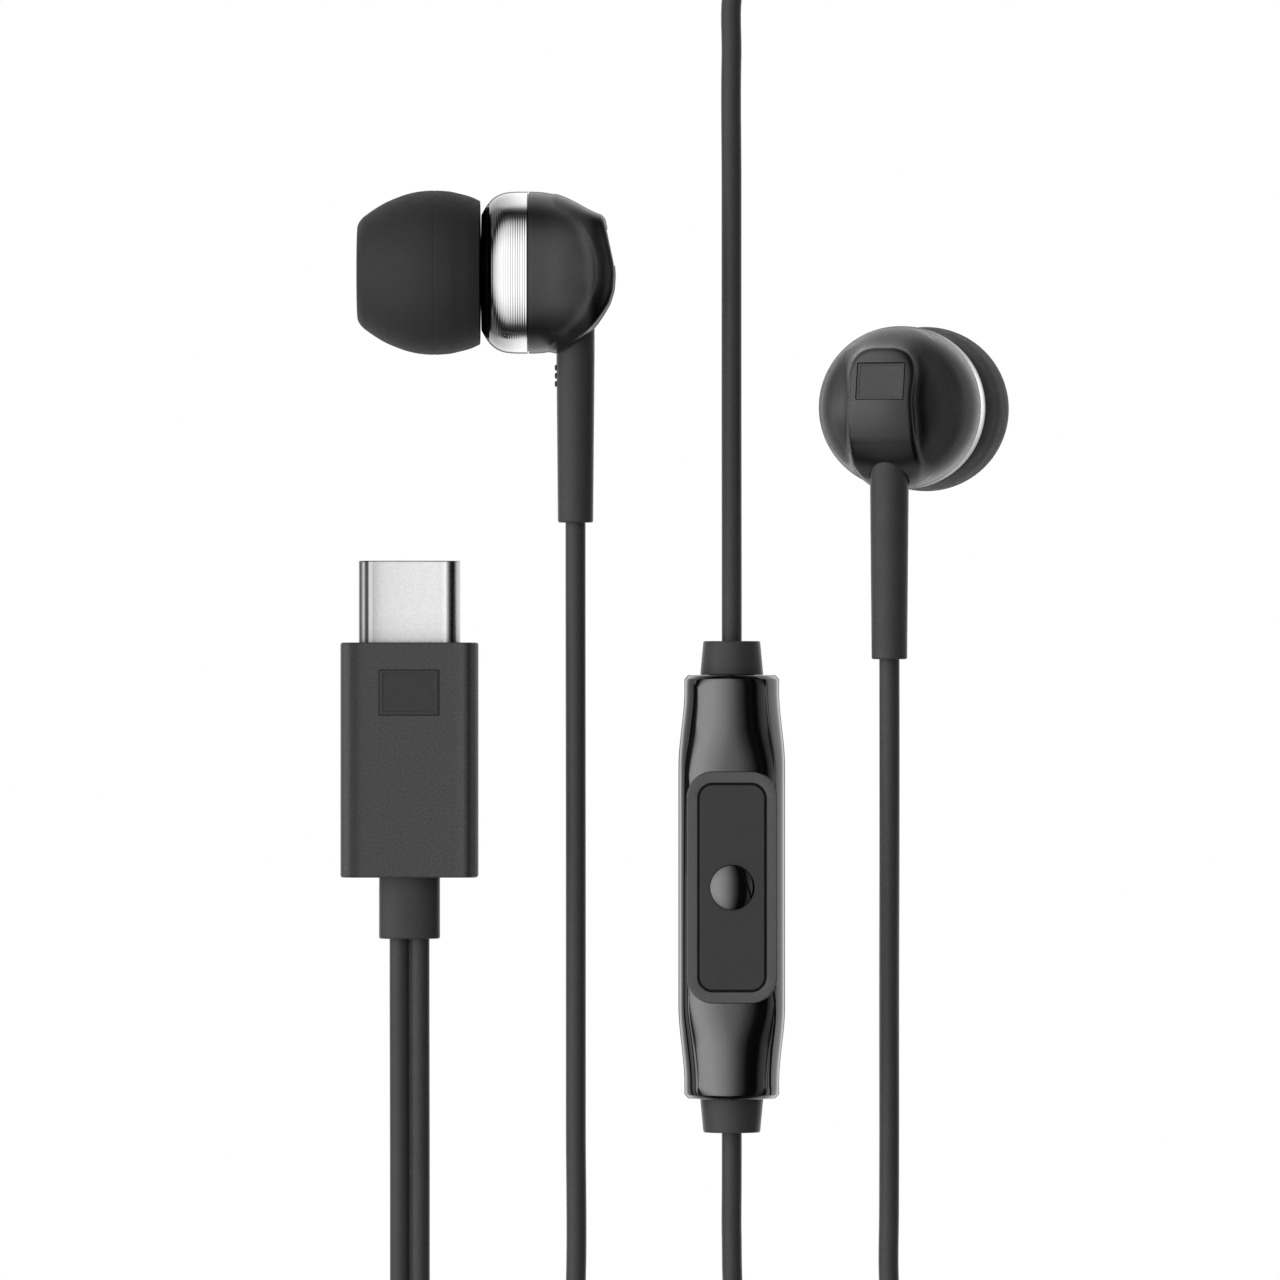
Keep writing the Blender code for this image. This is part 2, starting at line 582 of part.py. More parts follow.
def build_driver(side, carrier):
    """Basket, magnet, pole plate, voice coil, diaphragm and terminal board, stacked on Z."""
    pole = MAGNET_RADIUS + POLE_MARGIN
    coil_inner = pole + SLIP
    coil_outer = coil_inner + COIL_WALL
    cup_bore = coil_outer + SLIP
    cup_radius = cup_bore + CUP_WALL
    floor = CUP_WALL - CUP_REAR
    magnet_top = floor + SEAT + MAGNET_THICKNESS
    pole_top = magnet_top + SEAT + POLE_THICKNESS
    flange_top = pole_top + FRAME_FLANGE + SEAT
    rim_bore = frame_radius - FRAME_RIM
    rim_height = flange_top + SLIP
    skin = rim_height + DIAPHRAGM_SEAT

    frame_outline = [
        (0.0, -CUP_REAR), (cup_radius, -CUP_REAR), (cup_radius, flange_top - FRAME_FLANGE),
        (frame_radius, flange_top - FRAME_FLANGE), (frame_radius, FRAME_FRONT),
        (rim_bore, FRAME_FRONT), (rim_bore, rim_height), (rim_bore - 0.5, rim_height),
        (rim_bore - 0.5, flange_top), (cup_bore, flange_top), (cup_bore, floor), (0.0, floor),
    ]
    put(side + "_driver_frame", turned(frame_outline, INNER_ROUND), "nickel", carrier)

    bottom = floor + SEAT
    disc = [(0.0, bottom), (MAGNET_RADIUS, bottom), (MAGNET_RADIUS, magnet_top)]
    disc.append((0.0, magnet_top))
    put(side + "_driver_magnet", turned(disc, INNER_ROUND), "magnet", carrier)

    bottom = magnet_top + SEAT
    disc = [(0.0, bottom), (pole, bottom), (pole, pole_top), (0.0, pole_top)]
    put(side + "_pole_plate", turned(disc, INNER_ROUND), "nickel", carrier)

    top = skin - SLIP
    tube = [(coil_inner, bottom), (coil_outer, bottom), (coil_outer, top), (coil_inner, top)]
    put(side + "_voice_coil", turned(tube, INNER_ROUND), "copper", carrier)

    edge = rim_bore - SLIP
    middle = (coil_inner + coil_outer) / 2.0
    under = [
        (0.0, skin + DOME_RISE), (middle * 0.55, skin + DOME_RISE * 0.7), (middle, skin),
        ((middle + edge) / 2.0, skin + DOME_RISE * 0.5), (edge - 0.3, skin), (edge, skin),
    ]
    over = [(radius, height + DIAPHRAGM_SKIN) for radius, height in reversed(under)]
    put(side + "_diaphragm", turned(under + over, INNER_ROUND), "film", carrier)

    bottom = -CUP_REAR - CORD_GAP - BOARD_THICKNESS
    board = block(BOARD_WIDTH, BOARD_HEIGHT, BOARD_THICKNESS, bottom)
    put(side + "_terminal_board", board, "board", carrier)


def build_earbud(side, place, turn):
    carrier = frame(side + "_earbud", place, (0.0, turn, 0.0))
    build_trim_ring(side, carrier)
    build_nozzle_shell(side, carrier)
    build_nozzle_mesh(side, carrier)
    build_ear_tip(side, carrier)
    build_rear_shell(side, carrier)
    build_badge_plate(side, carrier)
    build_cable_boot(side, carrier)
    build_driver(side, carrier)


def standing_height():
    """Height of the right earbud's origin when its leaning tip rests on the table."""
    length = TIP_FRONT - shell_front - TIP_GAP
    return max(
        (TIP_FRONT - along * length) * cos(RIGHT_LEAN) + share * TIP_RADIUS * sin(RIGHT_LEAN)
        for along, share in TIP_OUTLINE)


# ---- remote -------------------------------------------------------------------------------------
def barrel_shape(along):
    """Half width and superellipse power of the barrel, this far from its middle."""
    start, end = BARREL_SWELL
    share = min(max((abs(along) - start) / (end - start), 0.0), 1.0)
    share = share * share * (3.0 - 2.0 * share)
    width = BARREL_MIDDLE + (BARREL_END_RADIUS - BARREL_MIDDLE) * share
    return width, BARREL_POWERS[0] + (BARREL_POWERS[1] - BARREL_POWERS[0]) * share


def half_section(along, width, height, power):
    """Half a superellipse above the split plane, from +X to -X."""
    points = []
    for step in range(BARREL_ARC + 1):
        angle = pi * step / BARREL_ARC
        across = abs(cos(angle)) ** (2.0 / power) * width
        rise = max(sin(angle), 0.0) ** (2.0 / power) * (height - SPLIT_GAP / 2.0)
        points.append((across if angle < pi / 2.0 else -across, along, SPLIT_GAP / 2.0 + rise))
    return points


def barrel_half():
    end = BARREL_LENGTH / 2.0
    inside = end - BARREL_END_WALL
    start, stop = BARREL_SWELL
    middle = [start + (stop - start) * step / 4.0 for step in range(4)]
    stations = sorted({end, end - BARREL_CHAMFER, inside, inside - SEAT, *middle})
    hole = GLAND_NECK + SLIP
    rings = []
    for along in [-station for station in reversed(stations)] + [0.0] + stations:
        width, power = barrel_shape(along)
        height = BARREL_END_RADIUS
        if abs(along) == end:
            width, height = width - BARREL_CHAMFER, height - BARREL_CHAMFER
        outer = half_section(along, width, height, power)
        if abs(along) >= inside:
            inner = half_section(along, hole, hole, 2.0)
        else:
            inner = half_section(
                along, width - BARREL_WALL, BARREL_END_RADIUS - BARREL_WALL, power)
        rings.append(outer + list(reversed(inner)))
    return loft(rings)


def build_remote():
    carrier = frame("remote", (*REMOTE_PLACE, BARREL_END_RADIUS))
    front = put("remote_front_shell", barrel_half(), "gloss_black", carrier)
    pocket = rounded(
        BEZEL_WIDTH + 2.0 * SEAT, BEZEL_LENGTH + 2.0 * SEAT, BEZEL_CORNER + SEAT)
    pocket = prism(pocket, BEZEL_FLOOR, BARREL_END_RADIUS + 1.0)
    cut(front, put("bezel_cutter", pocket, "gloss_black", carrier))
    put("remote_back_shell", barrel_half(), "gloss_black", carrier, turn=(0.0, pi, 0.0))

    outer = rounded(BEZEL_WIDTH, BEZEL_LENGTH, BEZEL_CORNER)
    window = rounded(WINDOW_WIDTH, WINDOW_LENGTH, WINDOW_CORNER)
    bezel = hollow_prism(outer, window, BEZEL_FLOOR + SEAT, BEZEL_TOP)
    put("remote_bezel", bezel, "bezel", carrier)

    outline = rounded(
        WINDOW_WIDTH - 2.0 * GROOVE, WINDOW_LENGTH - 2.0 * GROOVE, BUTTON_CORNER)
    button = put("remote_button", prism(outline, BUTTON_BOTTOM, BUTTON_TOP), "button", carrier)
    radius = KNOB_RADIUS + SEAT
    floor = BUTTON_TOP - KNOB_RECESS
    well = turned([(0.0, floor), (radius, floor), (radius, BUTTON_TOP + 1.0),
                   (0.0, BUTTON_TOP + 1.0)])
    cut(button, put("knob_cutter", well, "button", carrier))
    base = floor + SEAT
    knob = [(0.0, base), (KNOB_RADIUS, base)]
    for step in range(5):
        angle = pi / 2.0 * step / 4.0
        knob.append((KNOB_RADIUS * cos(angle), BUTTON_TOP + KNOB_RISE * sin(angle)))
    knob[-1] = (0.0, BUTTON_TOP + KNOB_RISE)
    put("remote_button_dome", turned(knob), "gloss_black", carrier)

    build_remote_inside(carrier)
    build_gland("remote_upper_gland", carrier, 1.0)
    build_gland("remote_lower_gland", carrier, -1.0)


def build_remote_inside(carrier):
    board = block(
        REMOTE_BOARD_WIDTH, REMOTE_BOARD_LENGTH, REMOTE_BOARD_THICKNESS,
        REMOTE_BOARD_TOP - REMOTE_BOARD_THICKNESS)
    put("remote_circuit_board", board, "board", carrier)
    seat = REMOTE_BOARD_TOP + SEAT
    base = put(
        "remote_switch_base", block(SWITCH_SIDE, SWITCH_SIDE, SWITCH_HEIGHT, seat), "chip",
        carrier)
    floor = seat + SWITCH_HEIGHT - SWITCH_WELL
    top = seat + SWITCH_HEIGHT + 1.0
    radius = PLUNGER_RADIUS + SLIP
    well = turned([(0.0, floor), (radius, floor), (radius, top), (0.0, top)], INNER_ROUND)
    cut(base, put("well_cutter", well, "chip", carrier))
    bottom = floor + BUTTON_TRAVEL + SEAT
    top = BUTTON_BOTTOM - SEAT
    stem = [(0.0, bottom), (PLUNGER_RADIUS, bottom), (PLUNGER_RADIUS, top), (0.0, top)]
    put("remote_switch_plunger", turned(stem, INNER_ROUND), "bezel", carrier)
    width, length, height = MICROPHONE
    capsule = block(width, length, height, seat)
    put("remote_microphone", capsule, "nickel", carrier, (0.0, MICROPHONE_Y, 0.0))


def build_gland(name, carrier, end):
    """A tapered gland whose flange is trapped behind the barrel's end wall."""
    flange_top = -BARREL_END_WALL - 2.0 * SEAT
    outline = [
        (0.0, flange_top - FLANGE_THICKNESS), (GLAND_FLANGE, flange_top - FLANGE_THICKNESS),
        (GLAND_FLANGE, flange_top), (GLAND_NECK, flange_top), (GLAND_NECK, SEAT),
        (GLAND_BASE, SEAT), (GLAND_TIP, GLAND_LENGTH), (0.0, GLAND_LENGTH),
    ]
    spot = (0.0, end * BARREL_LENGTH / 2.0, 0.0)
    put(name, turned(outline), "matte_shell", carrier, spot, (-end * pi / 2.0, 0.0, 0.0))


# ---- plug ---------------------------------------------------------------------------------------
ALONG_PLUG = (-pi / 2.0, 0.0, 0.0)     # turns an extrusion's Z to the plug's Y


def build_plug():
    carrier = frame("plug", (*PLUG_PLACE, SLEEVE_THICKNESS / 2.0))
    build_sleeve(carrier)
    outer = rounded(SHELL_WIDTH, SHELL_HEIGHT, SHELL_HEIGHT / 2.0 - WELD)
    bore_height = SHELL_HEIGHT - 2.0 * SHELL_SKIN
    bore_width = SHELL_WIDTH - 2.0 * SHELL_SKIN
    inner = rounded(bore_width, bore_height, bore_height / 2.0 - WELD)
    shell = hollow_prism(outer, inner, -SHELL_ROOT, SHELL_LENGTH)
    put("plug_shell", shell, "nickel", carrier, turn=ALONG_PLUG)

    width, height = bore_width - 2.0 * SLIP, bore_height - 2.0 * SLIP
    front = SHELL_LENGTH - INSULATOR_SETBACK
    body = prism(rounded(width, height, height / 2.0 - SLIP), -SHELL_ROOT, front)
    insulator = put("plug_insulator", body, "chip", carrier, turn=ALONG_PLUG)
    slot = block(SLOT_WIDTH, SLOT_HEIGHT, front + SLOT_REACH + 1.0, -SLOT_REACH)
    cut(insulator, put("slot_cutter", slot, "chip", carrier, turn=ALONG_PLUG))

    reach = front - 0.6
    lift = SLOT_HEIGHT / 2.0 - SLIP - CONTACT_THICKNESS
    put("plug_upper_contacts", contact_comb(reach, lift), "gold", carrier)
    lower = contact_comb(reach, -lift - CONTACT_THICKNESS)
    put("plug_lower_contacts", lower, "gold", carrier)

    width, length, thickness = PLUG_BOARD
    setback = SHELL_ROOT + CORD_GAP + length / 2.0
    board = block(width, length, thickness, -thickness / 2.0)
    put("plug_circuit_board", board, "board", carrier, (0.0, -setback, 0.0))
    chip = block(*CHIP, thickness / 2.0 + SEAT)
    put("plug_converter_chip", chip, "chip", carrier, (0.0, -CHIP_SETBACK, 0.0))
    build_plug_gland(carrier)


def build_sleeve(carrier):
    """The overmoulded sleeve, hollow inside and open where the shell and the gland pass."""
    outline = rounded(SLEEVE_WIDTH, SLEEVE_THICKNESS, SLEEVE_CORNER)
    body = prism(outline, -SLEEVE_LENGTH, 0.0)
    sleeve = put("plug_sleeve", body, "sleeve", carrier, turn=ALONG_PLUG)
    width, height = SLEEVE_WIDTH - 2.0 * PLUG_WALL, SLEEVE_THICKNESS - 2.0 * PLUG_WALL
    cavity = prism(
        rounded(width, height, SLEEVE_CORNER / 2.0),
        -SLEEVE_LENGTH + PLUG_END_WALL, -PLUG_END_WALL)
    cut(sleeve, put("cavity_cutter", cavity, "sleeve", carrier, turn=ALONG_PLUG))
    width, height = SHELL_WIDTH + 2.0 * SLIP, SHELL_HEIGHT + 2.0 * SLIP
    mouth = prism(rounded(width, height, height / 2.0 - WELD), -PLUG_END_WALL - 0.5, 1.0)
    cut(sleeve, put("mouth_cutter", mouth, "sleeve", carrier, turn=ALONG_PLUG))
    width, height = (side + 2.0 * SLIP for side in TAIL_NECK)
    tail = prism(
        rounded(width, height, height / 3.0),
        -SLEEVE_LENGTH - 1.0, -SLEEVE_LENGTH + PLUG_END_WALL + 0.5)
    cut(sleeve, put("tail_cutter", tail, "sleeve", carrier, turn=ALONG_PLUG))
    top = SLEEVE_THICKNESS / 2.0
    pocket = block(PLATE_WIDTH, PLATE_LENGTH, 2.0, top - PLATE_RECESS)
    spot = (0.0, -PLATE_SETBACK, 0.0)
    cut(sleeve, put("plate_cutter", pocket, "sleeve", carrier, spot))
    plate = block(
        PLATE_WIDTH - 2.0 * SEAT, PLATE_LENGTH - 2.0 * SEAT, PLATE_THICKNESS,
        top - PLATE_RECESS + SEAT)
    put("plug_badge_plate", plate, "gloss_black", carrier, spot)


def contact_comb(reach, bottom):
    """Twelve spring contacts on one carrier bar."""
    half = CONTACT_WIDTH / 2.0
    span = CONTACT_PITCH * (CONTACT_COUNT - 1)
    bar_front = -SLOT_REACH + SLIP + CONTACT_BAR
    outline = [(span / 2.0 + half, -SLOT_REACH + SLIP), (span / 2.0 + half, bar_front)]
    for index in range(CONTACT_COUNT):
        middle = span / 2.0 - index * CONTACT_PITCH
        if index:
            outline.append((middle + half, bar_front))
        outline += [(middle + half, reach), (middle - half, reach)]
        if index < CONTACT_COUNT - 1:
            outline.append((middle - half, bar_front))
    outline.append((-span / 2.0 - half, -SLOT_REACH + SLIP))
    del outline[1]
    return prism(outline, bottom, bottom + CONTACT_THICKNESS)


def build_plug_gland(carrier):
    """The flat gland: a flange inside the sleeve, a neck through its wall and the tail."""
    inside = -SLEEVE_LENGTH + PLUG_END_WALL + SEAT
    outside = -SLEEVE_LENGTH - SEAT
    flange = rounded(*TAIL_FLANGE, TAIL_NECK[1] / 3.0)
    neck = rounded(*TAIL_NECK, TAIL_NECK[1] / 3.0)
    tail = rounded(TAIL_WIDTH, TAIL_THICKNESS, TAIL_CORNER)
    stations = (
        (inside + FLANGE_THICKNESS, flange), (inside, flange), (inside, neck),
        (outside, neck), (outside, tail), (-SLEEVE_LENGTH - TAIL_LENGTH, tail),
    )
    rings = [[(x, y, along) for x, y in outline] for along, outline in stations]
    put("plug_gland", loft(rings), "matte_shell", carrier, turn=ALONG_PLUG)


# ---- splitter, coil and cords -------------------------------------------------------------------
def build_splitter():
    carrier = frame("splitter", (*SPLITTER_PLACE, SPLITTER_THICKNESS / 2.0))
    outer = rounded(SPLITTER_WIDTH, SPLITTER_LENGTH, SPLITTER_CORNER)
    inner = rounded(
        SPLITTER_WIDTH - 2.0 * SPLITTER_WALL, SPLITTER_LENGTH - 2.0 * SPLITTER_WALL,
        SPLITTER_CORNER - SPLITTER_WALL / 2.0)
    for name, turn in (("splitter_front_shell", 0.0), ("splitter_back_shell", pi)):
        tray = prism(outer, SPLIT_GAP / 2.0, SPLITTER_THICKNESS / 2.0)
        shell = put(name, tray, "matte_shell", carrier, turn=(0.0, turn, 0.0))
        hollow = prism(inner, -1.0, SPLITTER_THICKNESS / 2.0 - SPLITTER_WALL)
        cutter = put(name + "_cutter", hollow, "matte_shell", carrier, turn=(0.0, turn, 0.0))
        cut(shell, cutter)


def build_coil():
    outline = [
        (COIL_INNER + COIL_EDGE, 0.0), (COIL_OUTER - COIL_EDGE, 0.0), (COIL_OUTER, COIL_EDGE),
        (COIL_OUTER, COIL_HEIGHT - COIL_EDGE), (COIL_OUTER - COIL_EDGE, COIL_HEIGHT),
        (COIL_INNER + COIL_EDGE, COIL_HEIGHT), (COIL_INNER, COIL_HEIGHT - COIL_EDGE),
        (COIL_INNER, COIL_EDGE),
    ]
    spot = (*COIL_PLACE, 0.0)
    coil = put("cord_coil", turned(outline, COIL_ROUND), "cord", None, spot)
    middle = (COIL_INNER + COIL_OUTER) / 2.0
    depth = TIE_THICKNESS + CORD_GAP
    channel = block(COIL_OUTER, TIE_WIDTH + 2.0 * CORD_GAP, depth + 1.0, -1.0)
    along = (
        COIL_PLACE[0] + middle * cos(TIE_ANGLE), COIL_PLACE[1] + middle * sin(TIE_ANGLE))
    turn = (0.0, 0.0, TIE_ANGLE)
    cut(coil, put("tie_cutter", channel, "cord", None, (*along, 0.0), turn))

    clear = 0.4
    width = COIL_OUTER - COIL_INNER + 2.0 * clear
    height = COIL_HEIGHT + CORD_GAP - TIE_THICKNESS
    inner = rounded(width, height, TIE_THICKNESS)
    outer = rounded(
        width + 2.0 * TIE_THICKNESS, height + 2.0 * TIE_THICKNESS, 2.0 * TIE_THICKNESS)
    half = TIE_WIDTH / 2.0
    lift = TIE_THICKNESS + height / 2.0
    tie = hollow_prism(outer, inner, -half, half)
    put("coil_tie", tie, "matte_shell", None, (*along, lift), (pi / 2.0, 0.0, TIE_ANGLE))


def build_cords():
    cord("main_cord_run", MAIN_RUN, TWIN)
    cord("main_cord_tail", MAIN_TAIL, TWIN)
    cord("left_cord_run", LEFT_RUN, CORD)
    cord("left_cord_tail", LEFT_TAIL, CORD)
    cord("right_cord_run", RIGHT_RUN, CORD)
    cord("remote_cord_run", REMOTE_RUN, CORD)


clear_scene()
build_earbud("left", (*LEFT_PLACE, TIP_RADIUS), -pi / 2.0)
build_earbud("right", (*RIGHT_PLACE, standing_height()), pi - RIGHT_LEAN)
build_remote()
build_plug()
build_splitter()
build_coil()
build_cords()
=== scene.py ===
"""The looks of the wired earphones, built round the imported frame.

Sizes are in millimetres, as the pieces are drawn, and MM turns them into the frame's metres.
Each earbud, the remote, the plug and the splitter are drawn in a frame of their own, which is
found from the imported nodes, and are then placed in the row's frame.
"""

import json
from math import atan2, ceil, cos, log, pi, radians, sin

import bmesh
import bpy
import numpy as np
from mathutils import Matrix, Vector
from mathutils.geometry import interpolate_bezier

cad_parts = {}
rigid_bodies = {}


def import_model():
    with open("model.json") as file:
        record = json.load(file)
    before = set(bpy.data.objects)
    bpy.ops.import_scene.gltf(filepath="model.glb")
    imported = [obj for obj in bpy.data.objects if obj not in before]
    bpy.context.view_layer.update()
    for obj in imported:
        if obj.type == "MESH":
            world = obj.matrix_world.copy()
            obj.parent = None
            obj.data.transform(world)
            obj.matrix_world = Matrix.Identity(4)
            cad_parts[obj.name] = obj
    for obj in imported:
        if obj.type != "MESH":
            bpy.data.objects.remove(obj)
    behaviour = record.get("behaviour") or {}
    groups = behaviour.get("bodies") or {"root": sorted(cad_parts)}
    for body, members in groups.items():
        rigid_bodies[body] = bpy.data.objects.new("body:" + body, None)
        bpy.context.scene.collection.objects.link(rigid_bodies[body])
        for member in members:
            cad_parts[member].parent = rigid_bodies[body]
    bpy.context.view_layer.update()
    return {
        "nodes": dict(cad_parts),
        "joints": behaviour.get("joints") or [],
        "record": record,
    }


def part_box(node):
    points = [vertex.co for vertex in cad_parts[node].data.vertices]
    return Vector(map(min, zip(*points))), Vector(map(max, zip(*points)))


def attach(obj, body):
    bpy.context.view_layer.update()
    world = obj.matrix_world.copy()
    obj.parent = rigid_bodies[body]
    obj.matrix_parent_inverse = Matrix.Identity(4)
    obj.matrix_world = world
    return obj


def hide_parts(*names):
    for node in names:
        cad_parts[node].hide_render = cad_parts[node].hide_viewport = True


MM = 0.001
WHITE = (1.0, 1.0, 1.0, 1.0)
EVEN = (1.0, 1.0, 1.0)

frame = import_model()


# ---- places read from the frame -----------------------------------------------------------------
SCREEN_HEIGHT = 9.2    # the nozzle screen's middle, in front of the trim ring's rear edge
SPLIT = 0.05           # from a case's lower shell up to the plane where its frame lies


def node_box(node):
    """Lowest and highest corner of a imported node, in millimetres."""
    low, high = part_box(node)
    return Vector(low) / MM, Vector(high) / MM


def node_middle(node):
    low, high = node_box(node)
    return (low + high) / 2.0


def earbud_frame(side):
    """Z runs to the ear tip, Y away from the cord, from the middle of the ring's rear edge."""
    joints = {joint["name"]: joint for joint in frame["joints"]}
    axis = Vector(joints[side + "_tip_pull"]["axis"]).normalized()
    origin = node_middle(side + "_nozzle_mesh") - axis * SCREEN_HEIGHT
    up = Vector((0.0, 1.0, 0.0))
    turn = Matrix((up.cross(axis), up, axis)).transposed().to_4x4()
    return Matrix.Translation(origin * MM) @ turn


def case_frame(back_shell):
    """The frame of a case of two shells that lies flat, on the plane where it is split."""
    middle = node_middle(back_shell)
    middle.z = node_box(back_shell)[1].z + SPLIT
    return Matrix.Translation(middle * MM)


REMOTE_FRAME = case_frame("remote_back_shell")
SPLITTER_FRAME = case_frame("splitter_back_shell")
sleeve_middle = node_middle("plug_sleeve")
sleeve_middle.y = node_box("plug_sleeve")[1].y
PLUG_FRAME = Matrix.Translation(sleeve_middle * MM)


# ---- materials ----------------------------------------------------------------------------------
class Nodes:
    """Short ways to add the nodes of one tree."""

    def __init__(self, tree):
        self.nodes, self.links = tree.nodes, tree.links

    def feed(self, socket, value):
        """Give an input another node's output, or a value of its own."""
        if isinstance(value, bpy.types.NodeSocket):
            self.links.new(value, socket)
        else:
            socket.default_value = value

    def add(self, kind, *inputs, **named):
        """A new node, with its inputs given in order or by name."""
        node = self.nodes.new("ShaderNode" + kind)
        for socket, value in zip(node.inputs, inputs):
            self.feed(socket, value)
        for name, value in named.items():
            self.feed(node.inputs[name.replace("_", " ")], value)
        return node

    def maths(self, operation, *values):
        node = self.add("Math", *values)
        node.operation = operation
        return node.outputs[0]

    def ranged(self, value, start, end, low, high, curve="LINEAR"):
        """Map start..end to low..high, with nothing past them."""
        node = self.add("MapRange", Value=value, From_Min=start, From_Max=end, To_Min=low,
                        To_Max=high)
        node.interpolation_type = curve
        return node.outputs["Result"]

    def turn_curve(self, share, stops):
        """A smooth curve through (degrees, level) stops over a share of a full turn."""
        node = self.add("FloatCurve", Value=share)
        curve = node.mapping.curves[0]
        peak = max(level for _, level in stops)
        spots = [((angle / 360.0) + 0.5, level / peak) for angle, level in stops]
        curve.points[0].location = spots[0]
        curve.points[1].location = spots[-1]
        for spot in spots[1:-1]:
            curve.points.new(*spot)
        for point in curve.points:
            point.handle_type = "AUTO_CLAMPED"
        node.mapping.update()
        return self.maths("MULTIPLY", node.outputs[0], peak)


class Finish(Nodes):
    """A Principled material whose colour, roughness and bump come from procedural nodes."""

    def __init__(self, name, colour, roughness, metallic=0.0, specular=0.5, ior=1.5):
        self.name = name
        self.material = bpy.data.materials.new(name)
        self.material.use_nodes = True
        super().__init__(self.material.node_tree)
        self.sockets = self.nodes["Principled BSDF"].inputs
        if isinstance(colour, float):
            colour = (colour, colour, colour * 1.01)
        self.colour = (*colour, 1.0)
        self.sockets["Base Color"].default_value = self.colour
        self.sockets["Roughness"].default_value = roughness
        self.sockets["Metallic"].default_value = metallic
        self.sockets["Specular IOR Level"].default_value = specular
        self.sockets["IOR"].default_value = ior
        self.place = self.add("TexCoord").outputs["Object"]

    def axis(self, name):
        """The place on one axis, in metres."""
        return self.add("SeparateXYZ", self.place).outputs[name]

    def noise(self, size, detail, stretch=EVEN):
        """Noise whose blobs are about this many millimetres across."""
        scale = [share / (size * MM) for share in stretch]
        mapping = self.add("Mapping", Vector=self.place, Scale=scale)
        texture = self.add("TexNoise", Vector=mapping.outputs[0], Scale=1.0, Detail=detail)
        return texture.outputs["Fac"]

    def spread(self, value, low, high):
        """Map the middle range of a noise to a range of its own."""
        return self.ranged(value, 0.3, 0.7, low, high)

    def shade(self, share):
        """Multiply the colour, as it is so far, by a share from other nodes."""
        socket = self.sockets["Base Color"]
        mix = self.nodes.new("ShaderNodeMix")
        mix.data_type = "RGBA"
        mix.blend_type = "MULTIPLY"
        mix.inputs["Factor"].default_value = 1.0
        self.feed(mix.inputs[6], socket.links[0].from_socket if socket.is_linked else self.colour)
        self.feed(mix.inputs[7], share)
        self.feed(socket, mix.outputs[2])
        return self

    def vary_colour(self, size, low, high, detail=3.0):
        return self.shade(self.spread(self.noise(size, detail), low, high))

    def along_axis(self, axis, *stops):
        """Multiply the colour by the shares of (millimetres, share) stops on one axis."""
        start, end = stops[0][0], stops[-1][0]
        ramp = self.add("ValToRGB", self.ranged(self.axis(axis), start * MM, end * MM, 0.0, 1.0))
        marks = ramp.color_ramp.elements
        marks[0].position, marks[1].position = 0.0, 1.0
        for place, _ in stops[1:-1]:
            marks.new((place - start) / (end - start))
        for mark, (_, share) in zip(marks, stops):
            mark.color = (share, share, share, 1.0)
        return self.shade(ramp.outputs["Color"])

    def stretch_of(self, axis, start, low, end, high):
        """A share that goes smoothly from low to high between two places on an axis."""
        return self.ranged(self.axis(axis), start * MM, end * MM, low, high, "SMOOTHSTEP")

    def patch(self, mask, *shares):
        """Multiply the colour by shares along the axes, as far as the mask is 1."""
        total = self.stretch_of(*shares[0])
        for share in shares[1:]:
            total = self.maths("MULTIPLY", total, self.stretch_of(*share))
        mix = self.add("Mix", self.stretch_of(*mask))
        mix.inputs[2].default_value = 1.0
        self.feed(mix.inputs[3], total)
        return self.shade(mix.outputs[0])

    def vary_roughness(self, size, low, high, stretch=EVEN):
        self.feed(self.sockets["Roughness"], self.spread(self.noise(size, 2.0, stretch), low, high))
        return self

    def grain(self, size, height, detail=2.0, stretch=EVEN):
        """Bump of this height, in millimetres, on top of any bump already there."""
        socket = self.sockets["Normal"]
        bump = self.add("Bump", Strength=1.0, Distance=height * MM,
                        Height=self.noise(size, detail, stretch))
        if socket.is_linked:
            self.feed(bump.inputs["Normal"], socket.links[0].from_socket)
        self.feed(socket, bump.outputs["Normal"])
        return self

    def coat(self, weight, roughness):
        self.sockets["Coat Weight"].default_value = weight
        self.sockets["Coat Roughness"].default_value = roughness
        return self

    def holes(self, pitch, metal):
        """A grid of round holes in a metal of this colour, painted near-black as painted shade; no
        hole is cut.
        """
        mapping = self.add("Mapping", Vector=self.place, Scale=[1.0 / (pitch * MM)] * 3)
        cells = self.add("TexVoronoi", Vector=mapping.outputs[0], Scale=1.0, Randomness=0.0)
        ramp = self.add("ValToRGB", cells.outputs["Distance"])
        hole, rim = ramp.color_ramp.elements
        hole.position, rim.position = 0.28, 0.36
        hole.color, rim.color = (0.004, 0.004, 0.004, 1.0), metal
        self.feed(self.sockets["Base Color"], ramp.outputs["Color"])
        return self


def satin_shell(name):
    """The rear shells' satin plastic, with painted shade low on the pad and on its -X side."""
    return (
        Finish(name, 0.024, 0.27, specular=0.17).vary_colour(1.8, 0.95, 1.05)
        .vary_roughness(0.5, 0.24, 0.31).grain(0.07, 0.0009)
        .patch(("Z", -4.6, 0.0, -5.6, 1.0), ("Y", -3.4, 0.1, 0.4, 1.0), ("X", -2.7, 0.2, 0.8, 1.0)))


